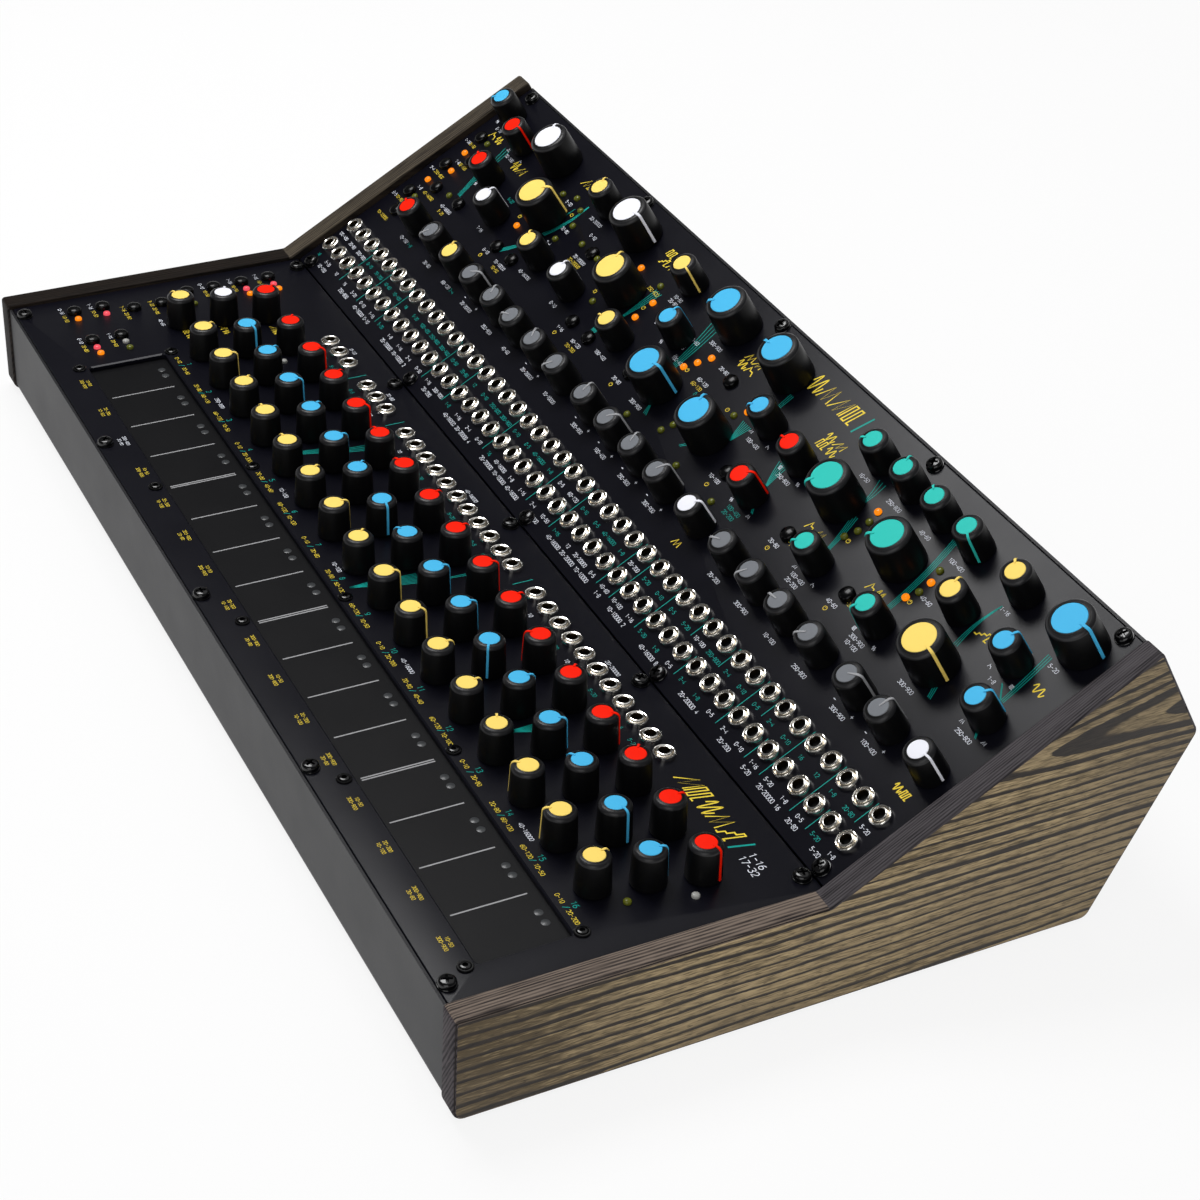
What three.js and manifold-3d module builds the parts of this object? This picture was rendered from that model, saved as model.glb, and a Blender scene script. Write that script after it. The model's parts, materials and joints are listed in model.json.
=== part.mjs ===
// A desktop modular synthesizer: two panels full of knobs and jacks, in a folded steel case
// between two wooden cheeks. Lengths are in millimetres, +X runs to the player's right,
// +Y to the back and +Z up.
//
// Two frames carry most pieces. The lower frame has its origin at the front left corner of the
// lower panel's top face, and the upper frame has it at the same corner of the upper panel.
// In both, x runs along the panel, y up the panel and z out of its face.

import * as THREE from 'three';
import { mergeVertices } from 'three/addons/utils/BufferGeometryUtils.js';
import Module from 'manifold-3d';

const wasm = await Module();
wasm.setup();

// Clearances shared by all pieces
const seatGap = 0.3;
const runningGap = 0.3;
const cutOverrun = 1;
const weldDepth = 0.5;

// Panels
const panelWidth = 463;
const panelDepth = 128.5;
const panelThickness = 2;
const panelSeam = 2.2;
const upperTilt = THREE.MathUtils.degToRad(30);
const restHeight = 41;

// Cheeks
const cheekThickness = 9.5;
const cheekEdgeRound = 0.9;
const cheekFrontOverhang = 2.2;
const cheekBackOverhang = 1.6;
const cheekLowerRise = 1.5;
const cheekUpperRise = 3.4;
const cheekBottom = 39.6;
const cheekBackFace = 39.4;
const cheekBottomRun = 231;
const cheekCornerRound = 4;
const cheekKinkRound = 3;
const cheekTopRound = 1.5;

// Folded steel case
const sheetThickness = 1;
const sheetBendRound = 2.5;
const floorLift = 1.5;
const rearInset = 1.5;

// Rails
const railWidth = 8;
const railHeight = 9;
const railWall = 2;
const railEdgeGap = 0.2;

// Feet
const footRadius = 6;
const footDraft = 0.8;
const footSides = 12;
const footInsetX = 24;
const footInsetFront = 20;
const footInsetRear = 20;

// Jacks, on a pitch of two horizontal panel units, which fill the upper panel from end to end
const jackNutRadius = 4;
const jackNutHeight = 2;
const jackBoreRadius = 1.75;
const jackBoreDepth = 3.4;
const jackSides = 6;
const jackBoreSides = 5;
const upperJackColumns = 45;
const upperJackInset = 6.15;
const upperJackEnd = 9.81;
const jackPitch = (panelWidth - upperJackInset - upperJackEnd) / (upperJackColumns - 1);
const upperJackRows = [14.6, 28.1];
const lowerJackInset = 77.1;
const lowerJackRowEnd = 13.8;
const lowerJackRow = panelDepth - lowerJackRowEnd;
const lowerJackGroups = [[0, 3], [4, 3], [8, 11], [20, 11]];

// Knobs, small and large
const smallKnob = { skirt: 6.2, shoulder: 5.7, rim: 4.6, height: 14.6, shoulderDrop: 1.5, sides: 8 };
const largeKnob = { skirt: 9.1, shoulder: 8.5, rim: 7.2, height: 17.3, shoulderDrop: 1.8, sides: 10 };
const fixedKnobSides = 8;
const knobLift = 0.5;
const knobRoof = 3;
const shaftRadius = 3;
const shaftHeight = 6.5;
const shaftSides = 5;

// Touch window of the lower panel, with one pad in front of each knob column
const padCount = 16;
const windowInset = 60;
const windowEnd = 12.856;
const padPitch = (panelWidth - windowInset - windowEnd) / padCount;
const windowFront = 14.8;
const windowBack = 47.6;
const windowRound = 1.5;
const touchPlateThickness = 1.6;
const touchPlateMargin = 5.8;
const touchPlateSideMargin = 4;

// Knob field of the lower panel, its rows at these shares of the panel's depth
const knobRowShares = [0.4848, 0.6218, 0.7588];
const knobRowStagger = 4.15;
const firstColumnInset = 17;
const knobColumnShift = 0.4;

// Push buttons
const buttonRadius = 3.1;
const buttonDome = 2.2;
const buttonHeight = 2.6;
const buttonShoulder = 1.4;
const buttonDepth = 3;
const buttonTravel = 0.4;
const buttonSides = 8;
const fixedButtonSides = 6;

// Circuit boards
const boardThickness = 1.6;
const boardDrop = 14;
const boardInsetX = 6;
const boardInsetY = 12;
const postRadius = 2.5;
const postSides = 6;
const headerLength = 18;
const headerWidth = 6;
const headerHeight = 5;

// Power board, inlet and switch
const powerBoardLength = 90;
const powerBoardWidth = 60;
const powerBoardFront = 150;
const powerBoardLift = 4;
const backWallDrop = 23;
const inletInset = 59;
const inletX = panelWidth - inletInset;
const inletFlangeRadius = 6;
const inletFlangeThickness = 1.6;
const inletBodyRadius = 5;
const inletBodyLength = 14;
const inletBoreRadius = 3.1;
const inletBoreDepth = 9;
const inletPinRadius = 1.05;
const inletPinLength = 8;
const inletSides = 12;
const switchInset = 93;
const switchX = panelWidth - switchInset;
const switchLength = 19;
const switchWidth = 13;
const switchBezelRim = 1.2;
const switchBezelThickness = 1.8;
const switchBodyDepth = 12;
const switchWall = 1.2;
const rockerPivotDrop = 3;
const rockerDepth = 7;
const rockerHeelRound = 1;
const rockerTilt = THREE.MathUtils.degToRad(8);

// Ribbon cables
const ribbonWidth = 12.7;
const ribbonThickness = 1;
const ribbonBend = 4;

// Places of the upper panel's controls, as shares of the panel's width and depth. A knob that
// turns has a third entry: the angle of its pointer in degrees, from the panel's x axis.
const largeKnobShares = [
  [0.1343, 0.885, 123], [0.2952, 0.885, 12], [0.4756, 0.885, 216], [0.5616, 0.885, 186],
  [0.969, 0.885, 12], [0.1877, 0.7175, 51], [0.3454, 0.7175, 114], [0.7127, 0.7175, 237],
  [0.8, 0.7175, 219], [0.475, 0.5835, 18], [0.5611, 0.5835, 117], [0.8998, 0.582, 357],
];
const turningKnobShares = [
  [0.7054, 0.885, 207], [0.749, 0.885, 117], [0.7927, 0.885, 150], [0.8363, 0.885, 330],
];
const fixedKnobShares = [
  [0.0255, 0.885], [0.0752, 0.838], [0.2359, 0.885], [0.394, 0.885], [0.8991, 0.885],
  [0.4391, 0.7355], [0.597, 0.7335], [0.6516, 0.7175], [0.8752, 0.734], [0.9436, 0.734],
  [0.0877, 0.674], [0.1393, 0.597], [0.2352, 0.597], [0.2974, 0.597], [0.3929, 0.597],
  [0.6469, 0.5525], [0.7484, 0.5495], [0.8363, 0.5495], [0.968, 0.583],
];
const frontRowShare = 0.386;
const frontRowKnobShares = [
  0.0795, 0.1343, 0.178, 0.2235, 0.2687, 0.3093, 0.3536, 0.3983, 0.4525, 0.4961,
  0.54, 0.584, 0.638, 0.694, 0.7374, 0.7808, 0.8255, 0.8803, 0.9235, 0.9752,
];
const upperButtonShares = [
  [0.0322, 0.3615], [0.0194, 0.443], [0.0423, 0.5175], [0.0194, 0.599], [0.0423, 0.6675], [0.0194, 0.7535],
  [0.0866, 0.532], [0.1771, 0.5255], [0.2071, 0.5285], [0.2715, 0.7335], [0.3328, 0.532],
  [0.3646, 0.531], [0.522, 0.7465], [0.7041, 0.5495], [0.7922, 0.5495],
];
const upperLiveButtons = [12, 13, 14];
const lowerButtonShares = [
  [0.0268, 0.1813], [0.0268, 0.2775], [0.0395, 0.3725], [0.0395, 0.4685], [0.0268, 0.571],
  [0.0268, 0.6665], [0.0268, 0.7655], [0.0268, 0.8625], [0.0845, 0.1785], [0.0845, 0.276],
];
const lowerLiveButtons = [0, 1];

// Pointer angles in degrees of the lower panel's front row of knobs, from left to right
const lowerKnobTurns = [207, 111, 72, 135, 183, 189, 123, 87, 138, 66, 48, 90, 99, 156, 225, 240, 105];

// Places of the posts that carry a circuit board, as shares of the board
const postShares = [[0.02, 0.5], [0.5, 0.5], [0.98, 0.5], [0.02, 0.96], [0.5, 0.96], [0.98, 0.96]];

// Materials
function finish(color, roughness, metalness = 0) {
  return new THREE.MeshStandardMaterial({ color, roughness, metalness });
}

const wood = finish(0x6f6248, 0.6);
const blackSteel = finish(0x2c2c30, 0.45, 0.4);
const blackPanel = finish(0x242428, 0.55, 0.2);
const touchCoat = finish(0x1c1c1e, 0.5);
const boardGreen = finish(0x16402a, 0.5);
const aluminium = finish(0xa8aaad, 0.4, 0.9);
const blackPlastic = finish(0x121213, 0.5);
const softBlack = finish(0x19191b, 0.75);
const footRubber = finish(0x151515, 0.9);
const ribbonGrey = finish(0x8c8f94, 0.7);

// Turns a closed three.js geometry into a solid that can be joined and cut
function solidFrom(geometry) {
  const bare = geometry.index ? geometry.toNonIndexed() : geometry.clone();
  bare.deleteAttribute('normal');
  bare.deleteAttribute('uv');
  const merged = mergeVertices(bare);
  const corners = Array.from(merged.index.array);
  const faces = [];
  for (let i = 0; i < corners.length; i += 3) {
    const [a, b, c] = corners.slice(i, i + 3);
    if (a !== b && b !== c && c !== a) faces.push(a, b, c);
  }
  return new wasm.Manifold(new wasm.Mesh({
    numProp: 3,
    vertProperties: Float32Array.from(merged.attributes.position.array),
    triVerts: Uint32Array.from(faces),
  }));
}

// Turns a solid back into a three.js geometry
function geometryFrom(solid) {
  const mesh = solid.getMesh();
  const geometry = new THREE.BufferGeometry();
  geometry.setAttribute('position', new THREE.BufferAttribute(mesh.vertProperties, mesh.numProp));
  geometry.setIndex(new THREE.BufferAttribute(mesh.triVerts, 1));
  return geometry;
}

// Joins a list of solids, two halves at a time
function joined(solids) {
  if (solids.length === 1) return solids[0];
  const middle = Math.floor(solids.length / 2);
  return joined(solids.slice(0, middle)).add(joined(solids.slice(middle)));
}

// A turned solid about +Z: the profile lists radius and height, from the axis back to the axis
function turned(profile, sides) {
  const points = profile.map(([radius, height]) => new THREE.Vector2(radius, height));
  return new THREE.LatheGeometry(points, sides).rotateX(Math.PI / 2);
}

function turnedSolid(profile, sides, x, y) {
  return solidFrom(turned(profile, sides).translate(x, y, 0));
}

// A closed cylinder about +Z, between two heights
function rod(radius, low, high, sides, x, y) {
  return turnedSolid([[0, low], [radius, low], [radius, high], [0, high]], sides, x, y);
}

// A block between two corners
function block([x0, y0, z0], [x1, y1, z1]) {
  const geometry = new THREE.BoxGeometry(x1 - x0, y1 - y0, z1 - z0);
  return solidFrom(geometry.translate((x0 + x1) / 2, (y0 + y1) / 2, (z0 + z1) / 2));
}

// Adds a polygon to a path, each corner [x, y, round] drawn as a curve between its two sides
function traceRounded(path, corners) {
  const point = ([x, y]) => new THREE.Vector2(x, y);
  corners.forEach((corner, i) => {
    const here = point(corner);
    const before = point(corners[(i + corners.length - 1) % corners.length]);
    const after = point(corners[(i + 1) % corners.length]);
    const round = corner[2];
    const start = before.sub(here).setLength(round).add(here);
    const end = after.sub(here).setLength(round).add(here);
    if (i === 0) path.moveTo(start.x, start.y);
    else path.lineTo(start.x, start.y);
    if (round > 0) path.quadraticCurveTo(here.x, here.y, end.x, end.y);
  });
  path.closePath();
  return path;
}

// Extrudes a profile, drawn in depth (y) and height (z), along the x axis
const profileToWorld = new THREE.Matrix4().makeBasis(
  new THREE.Vector3(0, 1, 0), new THREE.Vector3(0, 0, 1), new THREE.Vector3(1, 0, 0));

function extrudedAlongX(shape, options) {
  return new THREE.ExtrudeGeometry(shape, { bevelEnabled: false, ...options }).applyMatrix4(profileToWorld);
}

// The outline of a folded strip: a path of points and the same path moved to its left
function stripShape(points, thickness, bend) {
  const path = points.map(([x, y]) => new THREE.Vector2(x, y));
  const sides = path.slice(1).map((point, i) => point.clone().sub(path[i]).normalize());
  const leftOf = (direction) => new THREE.Vector2(-direction.y, direction.x);
  const offset = path.map((point, i) => {
    const before = leftOf(sides[Math.max(i - 1, 0)]);
    const after = leftOf(sides[Math.min(i, sides.length - 1)]);
    const mitre = before.clone().add(after).normalize();
    return point.clone().add(mitre.multiplyScalar(thickness / mitre.dot(before)));
  });
  const cornerOf = (onLeft) => (point, i) => {
    if (i === 0 || i === path.length - 1) return [point.x, point.y, 0];
    const turnsLeft = sides[i - 1].cross(sides[i]) > 0;
    return [point.x, point.y, turnsLeft === onLeft ? bend - thickness : bend];
  };
  const right = path.map(cornerOf(false));
  const left = offset.map(cornerOf(true));
  return traceRounded(new THREE.Shape(), [...right, ...left.reverse()]);
}

// The upper frame's axes in the lower frame's depth and height
const upperAlong = [Math.cos(upperTilt), Math.sin(upperTilt)];
const upperOut = [-Math.sin(upperTilt), Math.cos(upperTilt)];
const seamY = panelDepth + panelSeam;

function fromUpper(along, out) {
  return [seamY + along * upperAlong[0] + out * upperOut[0], along * upperAlong[1] + out * upperOut[1]];
}

// The cheek's wedge outline, from the front bottom corner round to the back
function cheekCorners() {
  const front = -cheekFrontOverhang;
  const kinkAlong = (cheekLowerRise - cheekUpperRise * upperOut[1]) / upperAlong[1];
  const backAlong = panelDepth + cheekBackOverhang;
  return [
    [front, -cheekBottom, cheekCornerRound],
    [cheekBottomRun, -cheekBottom, cheekCornerRound],
    [...fromUpper(backAlong, -cheekBackFace), cheekCornerRound],
    [...fromUpper(backAlong, cheekUpperRise), cheekTopRound],
    [...fromUpper(kinkAlong, cheekUpperRise), cheekKinkRound],
    [front, cheekLowerRise, cheekTopRound],
  ];
}

function cheekGeometry() {
  const shape = traceRounded(new THREE.Shape(), cheekCorners());
  return extrudedAlongX(shape, {
    depth: cheekThickness - 2 * cheekEdgeRound,
    bevelEnabled: true,
    bevelThickness: cheekEdgeRound,
    bevelSize: cheekEdgeRound,
    bevelOffset: -cheekEdgeRound,
    bevelSegments: 2,
    curveSegments: 3,
  });
}

// The case's folded sheet runs inside the cheeks' outline: front wall, floor, rear slope, back wall
const frontWallY = -(seatGap + sheetThickness);
const backWallAlong = panelDepth + seatGap + sheetThickness;
const floorZ = -(cheekBottom - floorLift);

function rearSlopeCorners() {
  const corners = cheekCorners();
  const low = new THREE.Vector2(...corners[1]);
  const high = new THREE.Vector2(...corners[2]);
  const direction = high.clone().sub(low).normalize();
  const inset = new THREE.Vector2(-direction.y, direction.x).multiplyScalar(rearInset);
  const start = low.add(inset);
  const floorReach = (floorZ - start.y) / direction.y;
  const wallStart = new THREE.Vector2(...fromUpper(backWallAlong, 0));
  const wallDirection = new THREE.Vector2(...upperOut);
  const gapToWall = wallStart.sub(start);
  const wallReach = gapToWall.cross(wallDirection) / direction.cross(wallDirection);
  return [floorReach, wallReach].map((reach) => direction.clone().multiplyScalar(reach).add(start));
}

function caseTrayGeometry() {
  const [slopeLow, slopeHigh] = rearSlopeCorners();
  const path = [
    [frontWallY, -seatGap],
    [frontWallY, floorZ],
    [slopeLow.x, slopeLow.y],
    [slopeHigh.x, slopeHigh.y],
    fromUpper(backWallAlong, -seatGap),
  ];
  const shape = stripShape(path, sheetThickness, sheetBendRound);
  const sheet = extrudedAlongX(shape, { depth: panelWidth, curveSegments: 3 });
  return geometryFrom(solidFrom(sheet).subtract(backWallHoles()));
}

// The inlet's round hole and the switch's square hole, cut through the back wall
function backWallHoles() {
  const holeTop = sheetThickness + cutOverrun;
  const inletHole = rod(inletBodyRadius + seatGap, -cutOverrun, holeTop, inletSides, inletX, 0);
  const halfLength = switchLength / 2 + seatGap;
  const halfWidth = switchWidth / 2 + seatGap;
  const switchHole = block(
    [switchX - halfLength, -halfWidth, -cutOverrun],
    [switchX + halfLength, halfWidth, holeTop]);
  return inletHole.add(switchHole).transform(backWallMatrix().elements);
}

// The back wall's frame: its z axis points out of the wall, and z = 0 lies on the wall's inner face
function backWallMatrix() {
  const [y, z] = fromUpper(backWallAlong - sheetThickness, -backWallDrop);
  const outward = new THREE.Vector3(0, ...upperAlong);
  const up = new THREE.Vector3(0, ...upperOut);
  return new THREE.Matrix4().makeBasis(new THREE.Vector3(-1, 0, 0), up, outward)
    .premultiply(new THREE.Matrix4().makeTranslation(panelWidth, y, z));
}

// A panel rail: an extruded channel whose top carries the panel's edge
function railGeometry() {
  const slotLow = -(railHeight - railWall);
  const corners = [
    [0, 0, 0], [0, -railHeight, 0], [railWidth, -railHeight, 0], [railWidth, slotLow, 0],
    [railWall, slotLow, 0], [railWall, -railWall, 0], [railWidth, -railWall, 0], [railWidth, 0, 0],
  ];
  return extrudedAlongX(traceRounded(new THREE.Shape(), corners), { depth: panelWidth });
}

// A jack's nut, sunk a little into the panel, and the bore through both
function jackNut(x, y) {
  return rod(jackNutRadius, -weldDepth, jackNutHeight, jackSides, x, y);
}

function jackBore(x, y) {
  const floor = jackNutHeight - jackBoreDepth;
  return rod(jackBoreRadius, floor, jackNutHeight + cutOverrun, jackBoreSides, x, y);
}

// A knob that turns has a bore over the fixed shaft, with its roof above the shaft's end
function knobGeometry(knob) {
  const bore = (shaftRadius + runningGap) / Math.cos(Math.PI / knob.sides);
  const roof = Math.min(shaftHeight + runningGap, knob.height - knobRoof);
  return turned([
    [0, roof],
    [bore, roof],
    [bore, knobLift],
    [knob.skirt, knobLift],
    [knob.shoulder, knob.height - knob.shoulderDrop],
    [knob.rim, knob.height],
    [0, knob.height],
  ], knob.sides);
}

function fixedKnob(knob, x, y) {
  return turnedSolid([
    [0, -weldDepth],
    [knob.skirt, -weldDepth],
    [knob.shoulder, knob.height],
    [0, knob.height],
  ], fixedKnobSides, x, y);
}

function knobShaft(x, y) {
  return rod(shaftRadius, -weldDepth, shaftHeight, shaftSides, x, y);
}

// A push button: a domed cap on a plunger that passes through the panel
function pushButton() {
  return turned([
    [0, -buttonDepth],
    [buttonRadius, -buttonDepth],
    [buttonRadius, buttonShoulder],
    [buttonDome, buttonHeight],
    [0, buttonHeight],
  ], buttonSides);
}

function fixedButton(x, y) {
  return turnedSolid(
    [[0, -weldDepth], [buttonRadius, -weldDepth], [buttonDome, buttonHeight], [0, buttonHeight]],
    fixedButtonSides, x, y);
}

function buttonHole([x, y]) {
  const radius = (buttonRadius + runningGap) / Math.cos(Math.PI / buttonSides);
  return rod(radius, -(panelThickness + cutOverrun), cutOverrun, buttonSides, x, y);
}

// Places worked out from the shares and pitches
const place = ([shareX, shareY]) => [shareX * panelWidth, shareY * panelDepth];

function lowerKnobPlace(column, row) {
  const middle = column === 0 ? windowInset - firstColumnInset : windowInset + (column - 1 / 2) * padPitch;
  const staggerSteps = row - (knobRowShares.length - 1) / 2;
  return [middle - knobColumnShift + staggerSteps * knobRowStagger, knobRowShares[row] * panelDepth];
}

function lowerKnobRow(row) {
  return Array.from({ length: padCount + 1 }, (_, column) => lowerKnobPlace(column, row));
}

function lowerJackPlaces() {
  return lowerJackGroups.flatMap(([first, count]) => (
    Array.from({ length: count }, (_, i) => [lowerJackInset + (first + i) * jackPitch, lowerJackRow])));
}

function upperJackPlaces() {
  return upperJackRows.flatMap((y) => (
    Array.from({ length: upperJackColumns }, (_, i) => [upperJackInset + i * jackPitch, y])));
}

const liveLowerKnobs = lowerKnobRow(0);
const fixedLowerKnobs = [...lowerKnobRow(1), ...lowerKnobRow(2)];
const fixedUpperKnobs = [
  ...fixedKnobShares.map(place),
  ...frontRowKnobShares.map((shareX) => place([shareX, frontRowShare])),
];

function splitButtons(shares, live) {
  const places = shares.map(place);
  return [places.filter((_, i) => live.includes(i)), places.filter((_, i) => !live.includes(i))];
}

const [liveLowerButtons, fixedLowerButtons] = splitButtons(lowerButtonShares, lowerLiveButtons);
const [liveUpperButtons, fixedUpperButtons] = splitButtons(upperButtonShares, upperLiveButtons);

// A panel: a plate with its jacks' nuts, its fixed controls and the shafts of its turning knobs
function panelSolid({ jacks, knobs, shafts, buttons, holes }) {
  const plate = block([0, 0, -panelThickness], [panelWidth, panelDepth, 0]);
  const raised = joined([
    plate,
    ...jacks.map(([x, y]) => jackNut(x, y)),
    ...knobs.map(([x, y]) => fixedKnob(smallKnob, x, y)),
    ...shafts.map(([x, y]) => knobShaft(x, y)),
    ...buttons.map(([x, y]) => fixedButton(x, y)),
  ]);
  const cuts = joined([...jacks.map(([x, y]) => jackBore(x, y)), ...holes.map(buttonHole)]);
  return raised.subtract(cuts);
}

// The window over the touch plate, with rounded corners
const windowRight = windowInset + padCount * padPitch;

function windowCut() {
  const corners = [
    [windowInset, windowFront, windowRound], [windowRight, windowFront, windowRound],
    [windowRight, windowBack, windowRound], [windowInset, windowBack, windowRound],
  ];
  const shape = traceRounded(new THREE.Shape(), corners);
  const depth = panelThickness + 2 * cutOverrun;
  const geometry = new THREE.ExtrudeGeometry(shape, { depth, bevelEnabled: false, curveSegments: 3 });
  return solidFrom(geometry.translate(0, 0, -(panelThickness + cutOverrun)));
}

function lowerPanelGeometry() {
  const solid = panelSolid({
    jacks: lowerJackPlaces(),
    knobs: fixedLowerKnobs,
    shafts: liveLowerKnobs,
    buttons: fixedLowerButtons,
    holes: liveLowerButtons,
  });
  return geometryFrom(solid.subtract(windowCut()));
}

function upperPanelGeometry() {
  return geometryFrom(panelSolid({
    jacks: upperJackPlaces(),
    knobs: fixedUpperKnobs,
    shafts: [...largeKnobShares, ...turningKnobShares].map(place),
    buttons: fixedUpperButtons,
    holes: liveUpperButtons,
  }));
}

// The touch plate lies under the window and reaches past it, to its screws
const touchPlateLow = windowFront - touchPlateMargin;

function touchPlateGeometry() {
  const top = -(panelThickness + seatGap);
  return geometryFrom(block(
    [windowInset - touchPlateSideMargin, touchPlateLow, top - touchPlateThickness],
    [windowRight + touchPlateSideMargin, windowBack + touchPlateMargin, top]));
}

// A circuit board on posts that reach the panel's underside, with a switch post under each button
const boardTop = -boardDrop;
const postTop = -(panelThickness + seatGap);

function boardSolid(buttons) {
  const right = panelWidth - boardInsetX;
  const back = panelDepth - boardInsetY;
  const plate = block([boardInsetX, boardInsetY, boardTop - boardThickness], [right, back, boardTop]);
  const posts = postShares.map(([shareX, shareY]) => rod(
    postRadius, boardTop - weldDepth, postTop, postSides,
    boardInsetX + postRadius + shareX * (panelWidth - 2 * (boardInsetX + postRadius)),
    boardInsetY + shareY * (panelDepth - 2 * boardInsetY)));
  const switchTop = -(buttonDepth + buttonTravel + seatGap);
  const switches = buttons.map(([x, y]) => (
    rod(buttonRadius, boardTop - weldDepth, switchTop, postSides, x, y)));
  return joined([plate, ...posts, ...switches]);
}

// A ribbon plug: a small block that stands on a board, from one height to another
function headerBlock(x, y, low, high) {
  const halfLength = headerLength / 2;
  const halfWidth = headerWidth / 2;
  return block([x - halfLength, y - halfWidth, low], [x + halfLength, y + halfWidth, high]);
}

const boardUnderside = boardTop - boardThickness;
const headerUnderside = boardUnderside - headerHeight;
const lowerRibbonX = panelWidth / 2 - 2 * ribbonWidth;
const upperRibbonX = panelWidth / 2 + 2 * ribbonWidth;
const lowerHeaderY = panelDepth - boardInsetY - 2 * headerWidth;
const upperHeaderY = panelDepth / 2;

function lowerBoardGeometry() {
  const plug = headerBlock(lowerRibbonX, lowerHeaderY, headerUnderside, boardUnderside + weldDepth);
  return geometryFrom(boardSolid(liveLowerButtons).add(plug));
}

function upperBoardGeometry() {
  const plug = headerBlock(upperRibbonX, upperHeaderY, headerUnderside, boardUnderside + weldDepth);
  return geometryFrom(boardSolid(liveUpperButtons).add(plug));
}

// The power board stands on the floor, with a plug for each ribbon
const floorTop = floorZ + sheetThickness;
const powerBoardTop = floorTop + seatGap + powerBoardLift + boardThickness;
const powerHeaderTop = powerBoardTop + headerHeight;
const lowerPlugY = powerBoardFront + headerWidth;
const upperPlugY = powerBoardFront + powerBoardWidth - headerWidth;

function powerBoardGeometry() {
  const left = (panelWidth - powerBoardLength) / 2;
  const right = left + powerBoardLength;
  const back = powerBoardFront + powerBoardWidth;
  const plate = block(
    [left, powerBoardFront, powerBoardTop - boardThickness], [right, back, powerBoardTop]);
  const posts = [left + headerWidth, right - headerWidth].flatMap((x) => (
    [powerBoardFront + headerWidth, back - headerWidth].map((y) => (
      rod(postRadius, floorTop + seatGap, powerBoardTop - weldDepth, postSides, x, y)))));
  const plugs = [
    headerBlock(lowerRibbonX, lowerPlugY, powerBoardTop - weldDepth, powerHeaderTop),
    headerBlock(upperRibbonX, upperPlugY, powerBoardTop - weldDepth, powerHeaderTop),
  ];
  return geometryFrom(joined([plate, ...posts, ...plugs]));
}

// Ribbon cables run from the power board's plugs to the boards above them
function ribbonGeometry(path) {
  const shape = stripShape(path, ribbonThickness, ribbonBend);
  return extrudedAlongX(shape, { depth: ribbonWidth, curveSegments: 3 });
}

function lowerRibbonPath() {
  const start = [lowerHeaderY + headerWidth / 2 + seatGap, headerUnderside + headerHeight / 2];
  const end = [lowerPlugY - headerWidth / 2 - seatGap, powerBoardTop + headerHeight / 2];
  return [end, [end[0] - ribbonWidth, end[1]], [start[0] + ribbonWidth, start[1]], start];
}

function upperRibbonPath() {
  const start = powerHeaderTop + seatGap;
  const end = fromUpper(upperHeaderY, headerUnderside - seatGap);
  const bend = fromUpper(upperHeaderY, headerUnderside - seatGap - 2 * ribbonWidth);
  return [[upperPlugY, start], [upperPlugY, start + ribbonWidth], bend, end];
}

// The power inlet: a flanged barrel with a contact pin in its bore, in the back wall's frame
function inletGeometry() {
  const flangeLow = sheetThickness + seatGap;
  const face = flangeLow + inletFlangeThickness;
  return turned([
    [0, face - inletBodyLength],
    [inletBodyRadius, face - inletBodyLength],
    [inletBodyRadius, flangeLow],
    [inletFlangeRadius, flangeLow],
    [inletFlangeRadius, face],
    [inletBoreRadius, face],
    [inletBoreRadius, face - inletBoreDepth],
    [inletPinRadius, face - inletBoreDepth],
    [inletPinRadius, face - inletBoreDepth + inletPinLength],
    [0, face - inletBoreDepth + inletPinLength],
  ], inletSides);
}

// The switch's bezel: a rimmed box through the back wall, hollow for its rocker
const bezelFace = sheetThickness + seatGap + switchBezelThickness;
const rockerHalfLength = switchLength / 2 - switchWall - runningGap;
const rockerHalfWidth = switchWidth / 2 - switchWall - runningGap;

function switchBezelGeometry() {
  const centred = (halfLength, halfWidth, low, high) => (
    block([-halfLength, -halfWidth, low], [halfLength, halfWidth, high]));
  const halfLength = switchLength / 2;
  const halfWidth = switchWidth / 2;
  const rimLow = sheetThickness + seatGap;
  const hollowLow = switchWall - switchBodyDepth;
  const rim = centred(halfLength + switchBezelRim, halfWidth + switchBezelRim, rimLow, bezelFace);
  const body = centred(halfLength, halfWidth, -switchBodyDepth, bezelFace);
  const hollow = centred(halfLength - switchWall, halfWidth - switchWall, hollowLow, bezelFace + cutOverrun);
  return geometryFrom(rim.add(body).subtract(hollow));
}

// The rocker, about its own pivot: its two top faces meet in a shallow valley
function rockerGeometry() {
  const rise = rockerPivotDrop;
  const wing = (rockerHalfLength - runningGap) * Math.tan(rockerTilt);
  const reach = rockerHalfLength - rise * Math.tan(rockerTilt);
  const heel = rockerDepth - rise;
  const shape = traceRounded(new THREE.Shape(), [
    [-reach + rise, -heel, rockerHeelRound], [reach - rise, -heel, rockerHeelRound],
    [reach, rise + wing, 0], [0, rise, 0], [-reach, rise + wing, 0],
  ]);
  const depth = 2 * rockerHalfWidth;
  const geometry = new THREE.ExtrudeGeometry(shape, { depth, bevelEnabled: false, curveSegments: 2 });
  return geometry.translate(0, 0, -rockerHalfWidth).rotateX(Math.PI / 2);
}

// A rubber foot, standing on the ground and reaching up to the floor's underside
function footGeometry() {
  const top = restHeight + floorZ - seatGap;
  return turned([[0, 0], [footRadius - footDraft, 0], [footRadius, top], [0, top]], footSides);
}

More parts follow.
